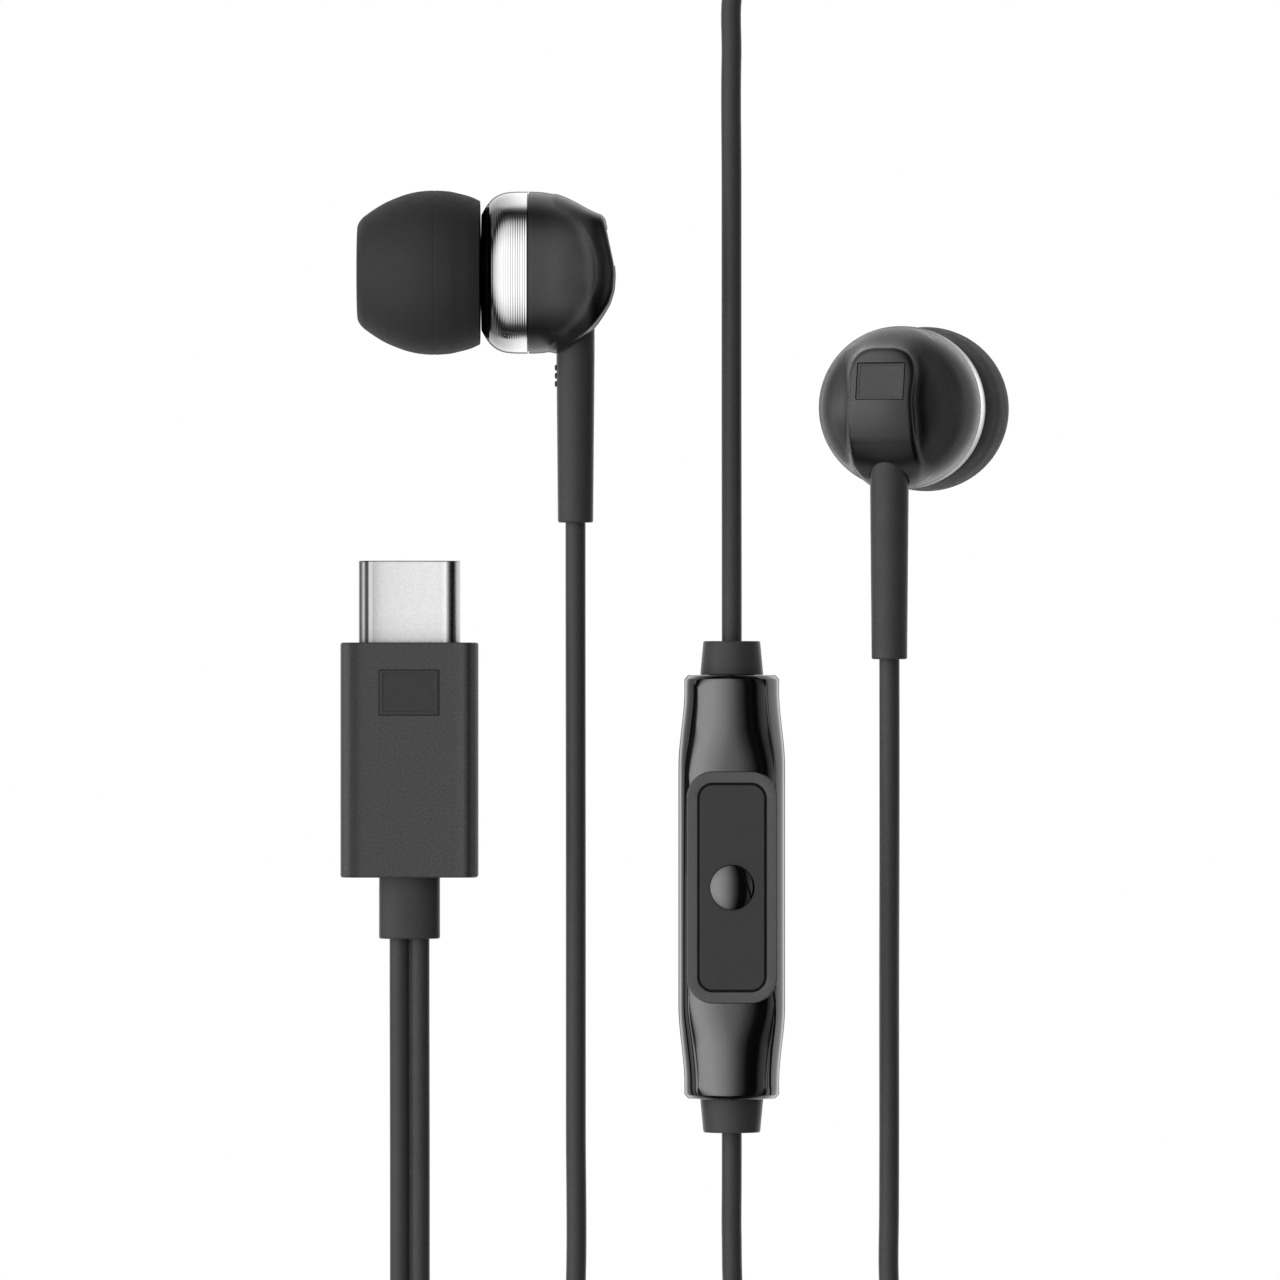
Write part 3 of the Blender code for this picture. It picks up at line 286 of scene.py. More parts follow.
FINISHES = (
    Finish("silicone", 0.0145, 0.65, specular=0.1)
    .vary_colour(2.5, 0.96, 1.04).vary_roughness(0.6, 0.6, 0.7).grain(0.05, 0.002),
    # the same silicone painted lighter for the right tip: painted light
    Finish("painted_light_silicone", 0.025, 0.6, specular=0.12)
    .vary_colour(2.5, 0.96, 1.04).vary_roughness(0.6, 0.55, 0.65).grain(0.05, 0.002),
    satin_shell("matte_shell"),
    # painted light in the middle of its +X side, and painted shade above, below and behind that
    satin_shell("painted_light_shell").patch(
        ("X", 0.5, 0.0, 2.5, 1.0), ("Z", -0.3, 1.1, -2.8, 2.4), ("Z", -4.7, 1.0, -5.5, 0.25),
        ("Y", 2.2, 1.0, 4.7, 0.3), ("Y", -4.9, 0.2, -2.2, 1.0)),
    Finish("boot_rubber", 0.026, 0.34, specular=0.06)
    .vary_colour(1.2, 0.95, 1.05).vary_roughness(0.5, 0.27, 0.35).grain(0.06, 0.0012),
    Finish("gloss_black", 0.001, 0.04, specular=0.5, ior=1.6)
    .vary_colour(3.0, 0.9, 1.1).vary_roughness(1.5, 0.03, 0.06).grain(1.6, 0.0006, 1.0),
    Finish("badge", 0.012, 0.16, specular=0.2)
    .vary_colour(0.6, 0.9, 1.1).vary_roughness(0.4, 0.14, 0.2).grain(0.2, 0.0005),
    # painted reflection and shade: bright at its rear edge and darker towards the front, and on its
    # -X side bright only in a short stretch there
    Finish("bright_metal", 0.55, 0.1, metallic=1.0)
    .along_axis("Z", (0.0, 0.1), (0.05, 0.98), (0.3, 0.97), (1.0, 0.8), (1.5, 0.62), (2.2, 0.4),
                (2.68, 0.22), (3.09, 0.03))
    .patch(("X", -1.0, 0.0, -3.0, 1.0), ("Y", 1.5, 1.0, 4.6, 0.12), ("Y", -4.2, 0.12, 0.5, 1.0),
           ("Z", 0.7, 1.0, 1.5, 0.05))
    .vary_roughness(0.05, 0.08, 0.14, (0.1, 0.1, 2.0)).grain(0.09, 0.0005, 1.0, (0.02, 0.02, 1.0)),
    # painted reflection and shade: dark lines and bright strips across its round sides, painted
    # shadow where it leaves the sleeve, and a painted dark line at its mouth's edge
    Finish("nickel", 0.43, 0.18, metallic=1.0).vary_colour(0.14, 0.94, 1.06, 2.0)
    .along_axis("X", (-4.2, 0.1), (-4.02, 0.2), (-3.9, 0.38), (-3.7, 0.4), (-3.6, 0.06),
                (-3.38, 0.03), (-3.25, 0.4), (-3.05, 0.58), (-2.7, 0.74), (-2.2, 0.88),
                (-1.5, 0.94), (0.0, 1.0), (2.6, 1.03), (3.2, 1.35), (3.38, 1.3), (3.46, 0.4),
                (3.6, 0.4), (3.75, 0.9), (4.2, 0.9))
    .along_axis("Y", (0.0, 0.62), (0.4, 0.8), (1.2, 0.94), (2.5, 1.0), (6.5, 1.0), (6.65, 0.3))
    .vary_roughness(0.3, 0.16, 0.24).grain(0.12, 0.0009, 3.0),
    Finish("screen", 0.3, 0.35, metallic=1.0)
    .vary_roughness(0.2, 0.3, 0.45).holes(0.22, (0.32, 0.32, 0.33, 1.0)),
    Finish("magnet", 0.5, 0.3, metallic=1.0).vary_roughness(0.4, 0.25, 0.4).grain(0.2, 0.001),
    Finish("copper", (0.72, 0.33, 0.16), 0.3, metallic=1.0)
    .vary_colour(0.2, 0.8, 1.1).grain(0.05, 0.004, 1.0, (0.05, 0.05, 1.0)),
    Finish("film", (0.62, 0.58, 0.42), 0.25).coat(0.4, 0.1)
    .vary_colour(0.8, 0.9, 1.05).grain(0.4, 0.003),
    Finish("board", (0.02, 0.13, 0.06), 0.4).coat(0.5, 0.15)
    .vary_colour(0.5, 0.75, 1.15).grain(0.25, 0.004),
    Finish("chip", 0.012, 0.5, specular=0.3).vary_colour(0.3, 0.85, 1.15).grain(0.06, 0.003),
    Finish("bezel", 0.044, 0.5, specular=0.1)
    .vary_colour(1.5, 0.97, 1.03).vary_roughness(0.5, 0.46, 0.56).grain(0.05, 0.0012),
    Finish("button", 0.02, 0.5, specular=0.1)
    .vary_colour(1.5, 0.96, 1.04).vary_roughness(0.5, 0.45, 0.56).grain(0.06, 0.0018),
    # painted highlight and shade: bright strips at its outer edges and dark strips on its round
    # sides
    Finish("sleeve", 0.031, 0.45, specular=0.1).vary_colour(0.17, 0.8, 1.2, 3.0)
    .along_axis("X", (-5.59, 2.0), (-5.45, 0.9), (-5.2, 1.1), (-4.95, 0.9), (-4.7, 0.42),
                (-4.4, 0.6), (-3.95, 0.94), (-3.6, 1.0), (3.6, 1.04), (4.4, 1.25), (4.65, 0.9),
                (4.87, 0.5), (5.1, 1.5), (5.3, 2.4), (5.59, 4.0))
    .vary_roughness(0.3, 0.4, 0.52).grain(0.2, 0.0045, 4.0).grain(0.09, 0.003, 2.0),
    Finish("cord", 0.026, 0.32, specular=0.06)
    .vary_colour(1.5, 0.95, 1.05).vary_roughness(0.6, 0.25, 0.32).grain(0.12, 0.001),
    Finish("tie", 0.014, 0.5, specular=0.3)
    .vary_colour(1.0, 0.9, 1.1).vary_roughness(0.4, 0.42, 0.56).grain(0.1, 0.003),
    Finish("gold", (0.85, 0.62, 0.25), 0.28, metallic=1.0)
    .vary_colour(0.3, 0.9, 1.05).vary_roughness(0.2, 0.22, 0.36).grain(0.1, 0.001),
)
LOOKS = {finish.name: finish.material for finish in FINISHES}


# ---- shapes -------------------------------------------------------------------------------------
ALONG_MINUS_Y = Matrix.Rotation(pi / 2.0, 4, "X")      # turns Z to -Y
ALONG_Y = Matrix.Rotation(-pi / 2.0, 4, "X")           # turns Z to +Y
IN_PLACE = Matrix.Identity(4)


def solid(name, mesh):
    """Mesh data in metres from points and faces in millimetres, with its faces turned out."""
    points, faces = mesh
    data = bpy.data.meshes.new(name)
    data.from_pydata([tuple(co * MM for co in point) for point in points], [], faces)
    shell = bmesh.new()
    shell.from_mesh(data)
    bmesh.ops.remove_doubles(shell, verts=shell.verts, dist=1e-7)
    bmesh.ops.recalc_face_normals(shell, faces=shell.faces)
    shell.to_mesh(data)
    shell.free()
    return data


def shade_round(data, edge_angle):
    data.shade_smooth()
    data.set_sharp_from_angle(angle=radians(edge_angle))


def take(item, look, matrix, nodes=(), body="root"):
    """Link an object, give it its finish, place it, hang it on its body and hide the nodes it stands
    for.
    """
    item.data.materials.clear()
    item.data.materials.append(LOOKS[look])
    item.matrix_world = matrix
    bpy.context.scene.collection.objects.link(item)
    bpy.context.view_layer.update()
    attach(item, body)
    if nodes:
        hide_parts(*nodes)
    return item


def flat_faces(item):
    """Shade large flat faces flat, next to the narrow faces of their round edges."""
    step = item.modifiers.new("flat", "WEIGHTED_NORMAL")
    step.keep_sharp = True
    step.weight = 100
    return item


def piece(name, mesh, look, matrix, nodes=(), edge_angle=35.0, body="root", flat=False):
    """A mesh object in a sub-assembly's frame, which rides on a body and stands for nodes."""
    data = solid(name, mesh)
    shade_round(data, edge_angle)
    item = take(bpy.data.objects.new(name, data), look, matrix, nodes, body)
    return flat_faces(item) if flat else item


def cut(item, edge_angle, *tools):
    """Cut meshes out of an object, in its own frame.  It stands at the origin meanwhile."""
    place, parent = item.matrix_world.copy(), item.parent
    item.parent = None
    item.matrix_world = IN_PLACE
    for mesh in tools:
        tool = bpy.data.objects.new("tool", solid("tool", mesh))
        bpy.context.scene.collection.objects.link(tool)
        step = item.modifiers.new("cut", "BOOLEAN")
        step.solver = "EXACT"
        step.object = tool
        bpy.context.view_layer.update()
        seen = item.evaluated_get(bpy.context.evaluated_depsgraph_get())
        result = bpy.data.meshes.new_from_object(seen)
        item.modifiers.clear()
        item.data = result
        bpy.data.objects.remove(tool, do_unlink=True)
    item.parent = parent
    item.matrix_world = place
    bpy.context.view_layer.update()
    if edge_angle:
        shade_round(item.data, edge_angle)
    return item


def transformed(mesh, matrix):
    points, faces = mesh
    return [tuple(matrix @ Vector(point)) for point in points], faces


def rounded_corners(corners, steps=6):
    """An open outline from (x, y, radius) corners, each turned on an arc of that radius."""
    points = []
    for index, (x, y, radius) in enumerate(corners):
        here = Vector((x, y))
        if radius <= 0.0 or index in (0, len(corners) - 1):
            points.append((x, y))
            continue
        before = (Vector(corners[index - 1][:2]) - here).normalized()
        after = (Vector(corners[index + 1][:2]) - here).normalized()
        half = before.angle(after) / 2.0
        setback = radius / np.tan(half)
        centre = here + (before + after).normalized() * radius / sin(half)
        start, end = here + before * setback - centre, here + after * setback - centre
        first = atan2(start.y, start.x)
        sweep = (atan2(end.y, end.x) - first + pi) % (2.0 * pi) - pi
        for step in range(steps + 1):
            angle = first + sweep * step / steps
            points.append((centre.x + radius * cos(angle), centre.y + radius * sin(angle)))
    return points


def bands(rows, count, closed):
    """Faces between neighbouring rows of this many points, and from the last row to the first."""
    pairs = [(row, row + 1) for row in range(rows - 1)]
    if closed:
        pairs.append((rows - 1, 0))
    return [
        [low * count + step, low * count + (step + 1) % count,
         high * count + (step + 1) % count, high * count + step]
        for low, high in pairs for step in range(count)]


def turned(outline, segments=192):
    """An outline of (radius, height) spun about Z.

    An outline that starts on the axis is closed by its ends, and any other is a closed loop.
    """
    ring = [
        (cos(2.0 * pi * step / segments), sin(2.0 * pi * step / segments))
        for step in range(segments)]
    points = [(r * x, r * y, h) for r, h in outline for x, y in ring]
    return points, bands(len(outline), segments, outline[0][0] > 0.0)


def skin(rings, closed=False):
    """A skin over rings of equal length, capped unless it closes on itself."""
    count = len(rings[0])
    points = [point for ring in rings for point in ring]
    faces = bands(len(rings), count, closed)
    if not closed:
        faces.append(list(range(count)))
        faces.append([(len(rings) - 1) * count + step for step in range(count)])
    return points, faces


def rounded(width, height, corner, steps):
    """A rectangle with round corners, centred on the origin."""
    points = []
    for quarter, (right, up) in enumerate(((1, 1), (-1, 1), (-1, -1), (1, -1))):
        for step in range(steps + 1):
            angle = pi / 2.0 * (quarter + step / steps)
            points.append((
                right * (width / 2.0 - corner) + corner * cos(angle),
                up * (height / 2.0 - corner) + corner * sin(angle)))
    return points


def oval(width, height, power, steps=96):
    """A superellipse, centred on the origin."""
    points = []
    for step in range(steps):
        angle = 2.0 * pi * (step + 0.5) / steps
        x, y = cos(angle), sin(angle)
        points.append((
            np.sign(x) * abs(x) ** (2.0 / power) * width / 2.0,
            np.sign(y) * abs(y) ** (2.0 / power) * height / 2.0))
    return points


def levels(width, length, corner, steps, pairs):
    """Rings of a rounded rectangle, each grown by an amount and at a height."""
    return [
        [(x, y, z) for x, y in rounded(
            width + 2.0 * grow, length + 2.0 * grow, max(corner + grow, 0.02), steps)]
        for grow, z in pairs]


def edge_arc(height, size, direction, steps=5):
    """(grow, height) pairs of a quarter-round edge that ends at a height."""
    if not size:
        return [(0.0, height)]
    angles = [pi / 2.0 * step / steps for step in range(steps + 1)]
    return [(size * (cos(angle) - 1.0), height - direction * size * (1.0 - sin(angle)))
            for angle in angles]


def slab(width, length, corner, low, high, low_edge=0.0, high_edge=0.0, steps=10):
    """Rings of a rounded block whose lower and upper edges can be rounded too."""
    pairs = [*reversed(edge_arc(low, low_edge, -1.0)), *edge_arc(high, high_edge, 1.0)]
    return levels(width, length, corner, steps, pairs)


def blank_plate(name, outer, inner, place, matrix, node):
    """A plate with a fine raised border and nothing on it."""
    rings = slab(*outer, steps=4) + slab(*inner, steps=4)[::-1]
    piece(name, transformed(skin(rings), place), "badge", matrix, [node], 30.0, flat=True)


# ---- camera, light and floor --------------------------------------------------------------------
VIEW_WIDTH = 104.15        # what the frame shows across, in the plug's plane
VIEW_PLACE = (-3.5, -17.56)
VIEW_PLANE = 2.9
LENS = 400.0
SENSOR = 36.0


def build_camera():
    data = bpy.data.cameras.new("camera")
    data.lens = LENS
    data.sensor_width = SENSOR
    data.clip_start = 0.01
    data.clip_end = 20.0
    camera = bpy.data.objects.new("camera", data)
    height = VIEW_PLANE + LENS * VIEW_WIDTH / SENSOR
    camera.location = Vector((*VIEW_PLACE, height)) * MM
    bpy.context.scene.collection.objects.link(camera)
    bpy.context.scene.camera = camera


# brightness of the soft studio by direction: degrees from the zenith, towards +X
SKY_ACROSS = (
    (-180.0, 1.7), (-150.0, 1.8), (-133.0, 0.8), (-113.0, 0.6), (-104.0, 1.4), (-97.0, 2.6),
    (-80.0, 4.0), (-57.0, 4.6), (-36.0, 4.0), (-24.0, 3.4), (-14.0, 2.8), (-5.0, 2.1),
    (5.0, 1.4), (14.0, 0.8), (26.0, 0.3), (36.0, 0.04), (57.0, 0.02), (68.0, 0.35),
    (84.0, 0.8), (97.0, 1.25), (113.0, 1.45), (133.0, 1.3), (150.0, 1.9), (180.0, 1.7),
)
# the share of it that is left, towards +Y
SKY_ALONG = (
    (-180.0, 1.0), (-125.0, 0.98), (-107.0, 0.5), (-91.0, 0.02), (-78.0, 0.22), (-66.0, 0.52),
    (-56.0, 0.7), (-45.0, 0.86), (-35.0, 0.95), (-25.0, 1.0), (25.0, 1.0), (35.0, 0.95),
    (45.0, 0.86), (56.0, 0.7), (66.0, 0.52), (78.0, 0.22), (91.0, 0.02), (107.0, 0.5),
    (125.0, 0.98), (180.0, 1.0),
)
SHADE_BELOW = (12.0, 26.0)     # the dark patch straight below, degrees from the nadir
SHADE_LEVEL = 0.08             # the share of the light that is left there
BACKDROP_LEVEL = 1.0
FLOOR_HEIGHT = -1.5            # just under the lowest cord, in millimetres
FLOOR_REACH = 2.0              # half the floor's width, in metres


def build_floor():
    """A plain pale floor, evenly lit.  It sends no light back: the sky holds the table's light."""
    material = bpy.data.materials.new("floor")
    material.use_nodes = True
    tree = Nodes(material.node_tree)
    tree.nodes.remove(tree.nodes["Principled BSDF"])
    glow = tree.add("Emission", Color=WHITE, Strength=BACKDROP_LEVEL)
    tree.feed(tree.nodes["Material Output"].inputs["Surface"], glow.outputs["Emission"])
    corners = [(right * FLOOR_REACH, up * FLOOR_REACH, FLOOR_HEIGHT * MM)
               for right, up in ((-1, -1), (1, -1), (1, 1), (-1, 1))]
    mesh = bpy.data.meshes.new("floor")
    mesh.from_pydata(corners, [], [(0, 1, 2, 3)])
    mesh.materials.append(material)
    floor = bpy.data.objects.new("floor", mesh)
    bpy.context.scene.collection.objects.link(floor)
    floor.visible_diffuse = False
    floor.visible_glossy = False
    floor.visible_transmission = False
    floor.visible_shadow = False


def build_sky():
    """A soft studio over a white table: bright on the left, with a dark gap on the right."""
    world = bpy.data.worlds.new("studio")
    bpy.context.scene.world = world
    world.use_nodes = True
    tree = Nodes(world.node_tree)
    tree.nodes.clear()
    way = tree.add("SeparateXYZ", tree.add("TexCoord").outputs["Generated"]).outputs
    level = 1.0
    for axis, stops in (("X", SKY_ACROSS), ("Y", SKY_ALONG)):
        angle = tree.maths("ARCTAN2", way[axis], way["Z"])
        share = tree.maths("ADD", tree.maths("MULTIPLY", angle, 0.5 / pi), 0.5)
        level = tree.maths("MULTIPLY", tree.turn_curve(share, stops), level)
    edges = [-cos(radians(angle)) for angle in SHADE_BELOW]
    level = tree.maths(
        "MULTIPLY", level, tree.ranged(way["Z"], *edges, SHADE_LEVEL, 1.0, "SMOOTHSTEP"))
    studio = tree.add("Background", Color=WHITE, Strength=level)
    backdrop = tree.add("Background", Color=WHITE, Strength=BACKDROP_LEVEL)
    seen = tree.add("LightPath").outputs["Is Camera Ray"]
    mix = tree.add("MixShader", seen, studio.outputs[0], backdrop.outputs[0])
    tree.add("OutputWorld", mix.outputs[0])


# ---- cords --------------------------------------------------------------------------------------
CORD = 1.63
TWIN_WIDTH = 3.25
REST = 0.025           # a cord's skin over the table
LOWEST = CORD / 2.0 + REST
coil_low, coil_high = node_box("cord_coil")
COIL_X, COIL_Y = (coil_low.x + coil_high.x) / 2.0, (coil_low.y + coil_high.y) / 2.0
COIL_OUTER = (coil_high.x - coil_low.x) / 2.0
OUTER_LANE = COIL_OUTER - 1.7
INNER_LANE = OUTER_LANE - TWIN_WIDTH - 0.05
LAYER = CORD + 0.03
TIE_ANGLE = 225.0
TIE_LIFT, TIE_SPREAD = 0.62, 28.0      # millimetres, and degrees to each side of the tie

# route points of the cords where they aren't coiled: x, y, z
MAIN_RUN = (
    (-22.25, -42.2, 2.9), (-22.25, -47.0, 2.8), (-22.25, -54.0, 1.9), (-22.25, -61.0, 1.25),
    (-22.25, -68.0, 1.18), (-22.25, -76.0, 0.84), (-22.4, -83.0, 0.84), (-22.7, -90.0, 0.84),
)
MAIN_TAIL = (
    (4.9, -121.0, 3.5), (9.5, -121.2, 2.8), (15.0, -121.3, 1.7), (21.0, -121.0, 1.0),
    (27.5, -119.6, 0.88), (33.0, -116.0, 0.95), (36.5, -111.0, 1.25), (37.5, -105.8, 1.4),
)
LEFT_RUN = (
    (-8.73, -8.34, 6.67), (-8.73, -13.0, 6.5), (-8.73, -20.0, 5.1), (-8.73, -28.0, 2.8),
    (-8.73, -36.0, 1.25), (-8.73, -44.0, 0.84), (-8.73, -57.0, 0.84), (-8.73, -70.0, 0.84),
    (-8.9, -74.5, 1.2), (-9.8, -79.0, 2.8), (-12.3, -83.5, 4.9),
)
LEFT_TAIL = (
    (13.4, -110.2, 4.9), (17.0, -107.6, 3.4), (21.0, -103.6, 1.6), (24.4, -98.5, 0.84),
    (26.7, -92.0, 0.84), (27.6, -85.0, 0.84), (28.6, -79.3, 0.84), (31.7, -76.8, 0.84),
    (34.6, -78.6, 0.9), (35.7, -82.4, 1.3), (35.7, -87.2, 1.7),
)
RIGHT_RUN = (
    (16.53, -19.42, 17.92), (16.54, -24.0, 17.75), (16.57, -30.5, 16.2), (16.62, -37.0, 12.9),
    (16.68, -44.0, 8.5), (16.75, -51.0, 4.4), (16.8, -58.0, 1.8), (16.8, -64.0, 0.94),
    (16.8, -70.0, 0.84), (17.6, -77.0, 0.84), (18.3, -84.0, 0.84), (16.9, -90.0, 0.84),
    (12.8, -90.4, 0.84), (9.4, -85.5, 0.84), (6.2, -79.0, 0.84), (4.3, -72.5, 1.0),
    (3.96, -66.0, 2.3), (3.96, -61.5, 3.4), (3.96, -57.9, 3.85),
)
REMOTE_RUN = (
    (3.96, -17.33, 3.85), (3.96, -12.0, 3.6), (3.96, -5.0, 2.2), (3.96, 2.0, 1.05),
    (3.96, 10.0, 0.84), (3.96, 20.0, 0.84), (3.96, 30.0, 0.84), (4.2, 36.0, 0.84),
    (6.6, 41.0, 0.84), (12.0, 43.2, 0.84), (22.0, 43.6, 0.84), (34.0, 43.4, 0.84),
    (44.0, 42.4, 0.84), (49.3, 38.2, 0.84), (50.5, 30.0, 0.84), (50.5, 15.0, 0.84),
    (50.5, 0.0, 0.84), (50.5, -15.0, 0.84), (50.5, -30.0, 0.84), (50.5, -45.0, 0.84),
    (50.5, -58.0, 0.84), (50.5, -66.0, 0.84), (49.7, -71.6, 0.84), (47.0, -75.4, 0.84),
    (43.4, -78.2, 0.84), (40.6, -81.2, 0.95), (39.5, -84.4, 1.4), (39.3, -87.2, 1.7),
)


def smooth_route(route, spacing):
    """Evenly spaced points on one smooth curve through the points of a route."""
    knots = [Vector(point) for point in route]
    knots.insert(0, 2.0 * knots[0] - knots[1])
    knots.append(2.0 * knots[-1] - knots[-2])
    dense = [knots[1]]
    for before, start, end, after in zip(knots, knots[1:], knots[2:], knots[3:]):
        lead, span, trail = (start - before).length, (end - start).length, (after - end).length
        leave = (start - before) / lead - (end - before) / (lead + span) + (end - start) / span
        arrive = (end - start) / span - (after - start) / (span + trail) + (after - end) / trail
        handles = start + leave * span / 3.0, end - arrive * span / 3.0
        dense += interpolate_bezier(start, handles[0], handles[1], end, 24)[1:]
    travelled = [0.0]
    for start, end in zip(dense, dense[1:]):
        travelled.append(travelled[-1] + (end - start).length)
    count = ceil(travelled[-1] / spacing)
    even, index = [dense[0]], 0
    for step in range(1, count):
        target = travelled[-1] * step / count
        while travelled[index + 1] < target:
            index += 1
        share = (target - travelled[index]) / (travelled[index + 1] - travelled[index])
        even.append(dense[index].lerp(dense[index + 1], share))
    return even + [dense[-1]]


def ease(share):
    share = min(max(share, 0.0), 1.0)
    return share * share * (3.0 - 2.0 * share)


def over_tie(angle):
    """How far the coil's turns are lifted where the tie passes under them."""
    away = (angle - TIE_ANGLE + 180.0) % 360.0 - 180.0
    return TIE_LIFT * ease(1.0 - abs(away) / TIE_SPREAD)


def coil_point(angle, radius, height):
    turn = radians(angle)
    return (
        COIL_X + radius * cos(turn), COIL_Y + radius * sin(turn), height + over_tie(angle))


# lane and layer of each turn of the main cord, from the first to the last
MAIN_TURNS = (
    (OUTER_LANE, 0), (INNER_LANE, 0), (INNER_LANE, 1), (OUTER_LANE, 1),
    (INNER_LANE, 2), (OUTER_LANE, 2), (OUTER_LANE, 2),
)
COIL_TURNS = 6.25
CHANGE = 0.16              # share of a turn in which the cord changes lane or layer
TURN_STEPS = 18


def main_coil():
    """The main cord's turns, from the left of the coil to its near side."""
    points = []
    for step in range(int(COIL_TURNS * TURN_STEPS) + 1):
        turns = step / TURN_STEPS
        index = int(turns)
        lane, layer = MAIN_TURNS[index]
        next_lane, next_layer = MAIN_TURNS[min(index + 1, len(MAIN_TURNS) - 1)]
        share = (turns - index - (1.0 - CHANGE)) / CHANGE
        rise, across = ease(share * 2.0), ease(share * 2.0 - 1.0)
        if next_layer == layer:
            across = ease(share)
        radius = lane + (next_lane - lane) * across
        height = LOWEST + LAYER * (layer + (next_layer - layer) * rise)
        points.append(coil_point(180.0 + 360.0 * turns, radius, height))
    return points


LEFT_TURNS = 2.5
LEFT_START = 124.0
LEFT_LEAVING = (0.5, 0.34)     # turns before its end where it moves out, and in how many
LEFT_OUTWARD = 2.6


def left_coil():
    """The left cord's turns on top of the main cord's, out over itself at the end."""
    top = LOWEST + 3.0 * LAYER
    points = []
    steps = int(LEFT_TURNS * TURN_STEPS)
    for step in range(steps + 1):
        turns = LEFT_TURNS * step / steps
        leaving = ease((turns - LEFT_TURNS + LEFT_LEAVING[0]) / LEFT_LEAVING[1])
        radius = COIL_OUTER - 1.6 - turns * (CORD + 0.12) + leaving * LEFT_OUTWARD
        points.append(coil_point(LEFT_START + 360.0 * turns, radius, top + LAYER * leaving))
    return points


TUCK = 0.9                 # how far a cord reaches into what holds its end


def laid(route, spacing):
    """A smooth path along a route, lengthened at its ends and kept on the table."""
    knots = [Vector(point) for point in route]
    knots.insert(0, knots[0] + (knots[0] - knots[1]).normalized() * TUCK)
    knots.append(knots[-1] + (knots[-1] - knots[-2]).normalized() * TUCK)
    spots = smooth_route(knots, spacing)
    for spot in spots:
        spot.z = max(spot.z, LOWEST)
    return spots


def round_cord(name, spots, nodes):
    """A round cord as one open spline."""
    data = bpy.data.curves.new(name, "CURVE")
    data.dimensions = "3D"
    data.bevel_depth = CORD / 2.0 * MM
    data.bevel_resolution = 6
    data.use_fill_caps = True
    spline = data.splines.new("POLY")
    spline.points.add(len(spots) - 1)
    for point, spot in zip(spline.points, spots):
        point.co = (*(spot * MM), 1.0)
    spline.use_smooth = True
    return take(bpy.data.objects.new(name, data), "cord", IN_PLACE, nodes)


def twin_section():
    """The outline of two round cords side by side, with a groove between them."""
    half = CORD / 2.0
    centre = TWIN_WIDTH / 2.0 - half
    points = []
    for side in (1.0, -1.0):
        for step in range(21):
            angle = radians(-158.0 + 316.0 * step / 20.0)
            points.append((side * (centre + half * cos(angle)), side * half * sin(angle)))
    return points


def twin_cord(name, spots, nodes):
    """The twin section swept along a path, its flat side down."""
    rings, section, up = [], twin_section(), Vector((0.0, 0.0, 1.0))
    for index, spot in enumerate(spots):
        before, after = spots[max(index - 1, 0)], spots[min(index + 1, len(spots) - 1)]
        along = (after - before).normalized()
        side = along.cross(up).normalized()
        rise = side.cross(along)
        rings.append([tuple(spot + side * x + rise * y) for x, y in section])
    return piece(name, skin(rings), "cord", IN_PLACE, nodes, 60.0)


def build_cords():
    """All four cords, each with its path."""
    path = laid([*MAIN_RUN, *main_coil(), *MAIN_TAIL], 1.0)[::-1]
    nodes = ["main_cord_run", "main_cord_tail", "cord_coil"]
    built = {"main": (twin_cord("main_cord", path, nodes), path)}
    left_nodes = ["left_cord_run", "left_cord_tail"]
    for name, route, nodes in (("left", [*LEFT_RUN, *left_coil(), *LEFT_TAIL], left_nodes),
                               ("right", RIGHT_RUN, ["right_cord_run"]),
                               ("remote", REMOTE_RUN, ["remote_cord_run"])):
        path = laid(route, 0.8)
        built[name] = (round_cord(name + "_cord", path, nodes), path)
    return built


# ---- earbuds ------------------------------------------------------------------------------------
HOUSING_RADIUS = 6.57
RING_LENGTH = 3.15
RING_BORE = 5.35
TOOL_LINES, LINE_DEPTH, LINE_STEPS = 16, 0.007, 8
SHELL_FRONT = 3.74
FRONT_FACE_RADIUS = 4.69
FRONT_STEPS = 12
NOZZLE_RADIUS = 2.3
NOZZLE_END = 9.5
SCREEN_RADIUS, SCREEN_BACK, SCREEN_RIM, SCREEN_DOME = 1.8, 9.1, 9.3, 0.12
TIP_FRONT = 13.82
TIP_REAR = 3.84
TIP_BORE = 2.7
BOOT_RADIUS = 1.55
BOOT_END_RADIUS = 1.43
BOOT_SETBACK = 3.89
BOOT_TOP = 3.4
BOOT_END = 20.27
BEAD_RISES = (-7.7, -8.36, -9.02)
BEAD_RADIUS = 0.24


def shoulder_radius(height):
    """Outer radius of the ring and the gloss edge, curving in towards the tip."""
    share = height / SHELL_FRONT
    return HOUSING_RADIUS - (HOUSING_RADIUS - FRONT_FACE_RADIUS) * share ** 4.2


def build_trim_ring(side, matrix):
    """A turned ring whose outer face carries fine tool lines."""
    start, end = 0.05, RING_LENGTH - 0.06
    outline = [(HOUSING_RADIUS - 0.01, 0.0)]
    steps = TOOL_LINES * LINE_STEPS
    for step in range(steps + 1):
        height = start + (end - start) * step / steps
        wave = 0.5 - 0.5 * cos(2.0 * pi * step / LINE_STEPS)
        outline.append((shoulder_radius(height) - LINE_DEPTH * wave, height))
    outline += [(shoulder_radius(RING_LENGTH) - 0.06, RING_LENGTH), (RING_BORE, RING_LENGTH),
                (RING_BORE, 0.0)]
    piece(side + "_ring", turned(outline, 256), "bright_metal", matrix, [side + "_trim_ring"], 50.0)


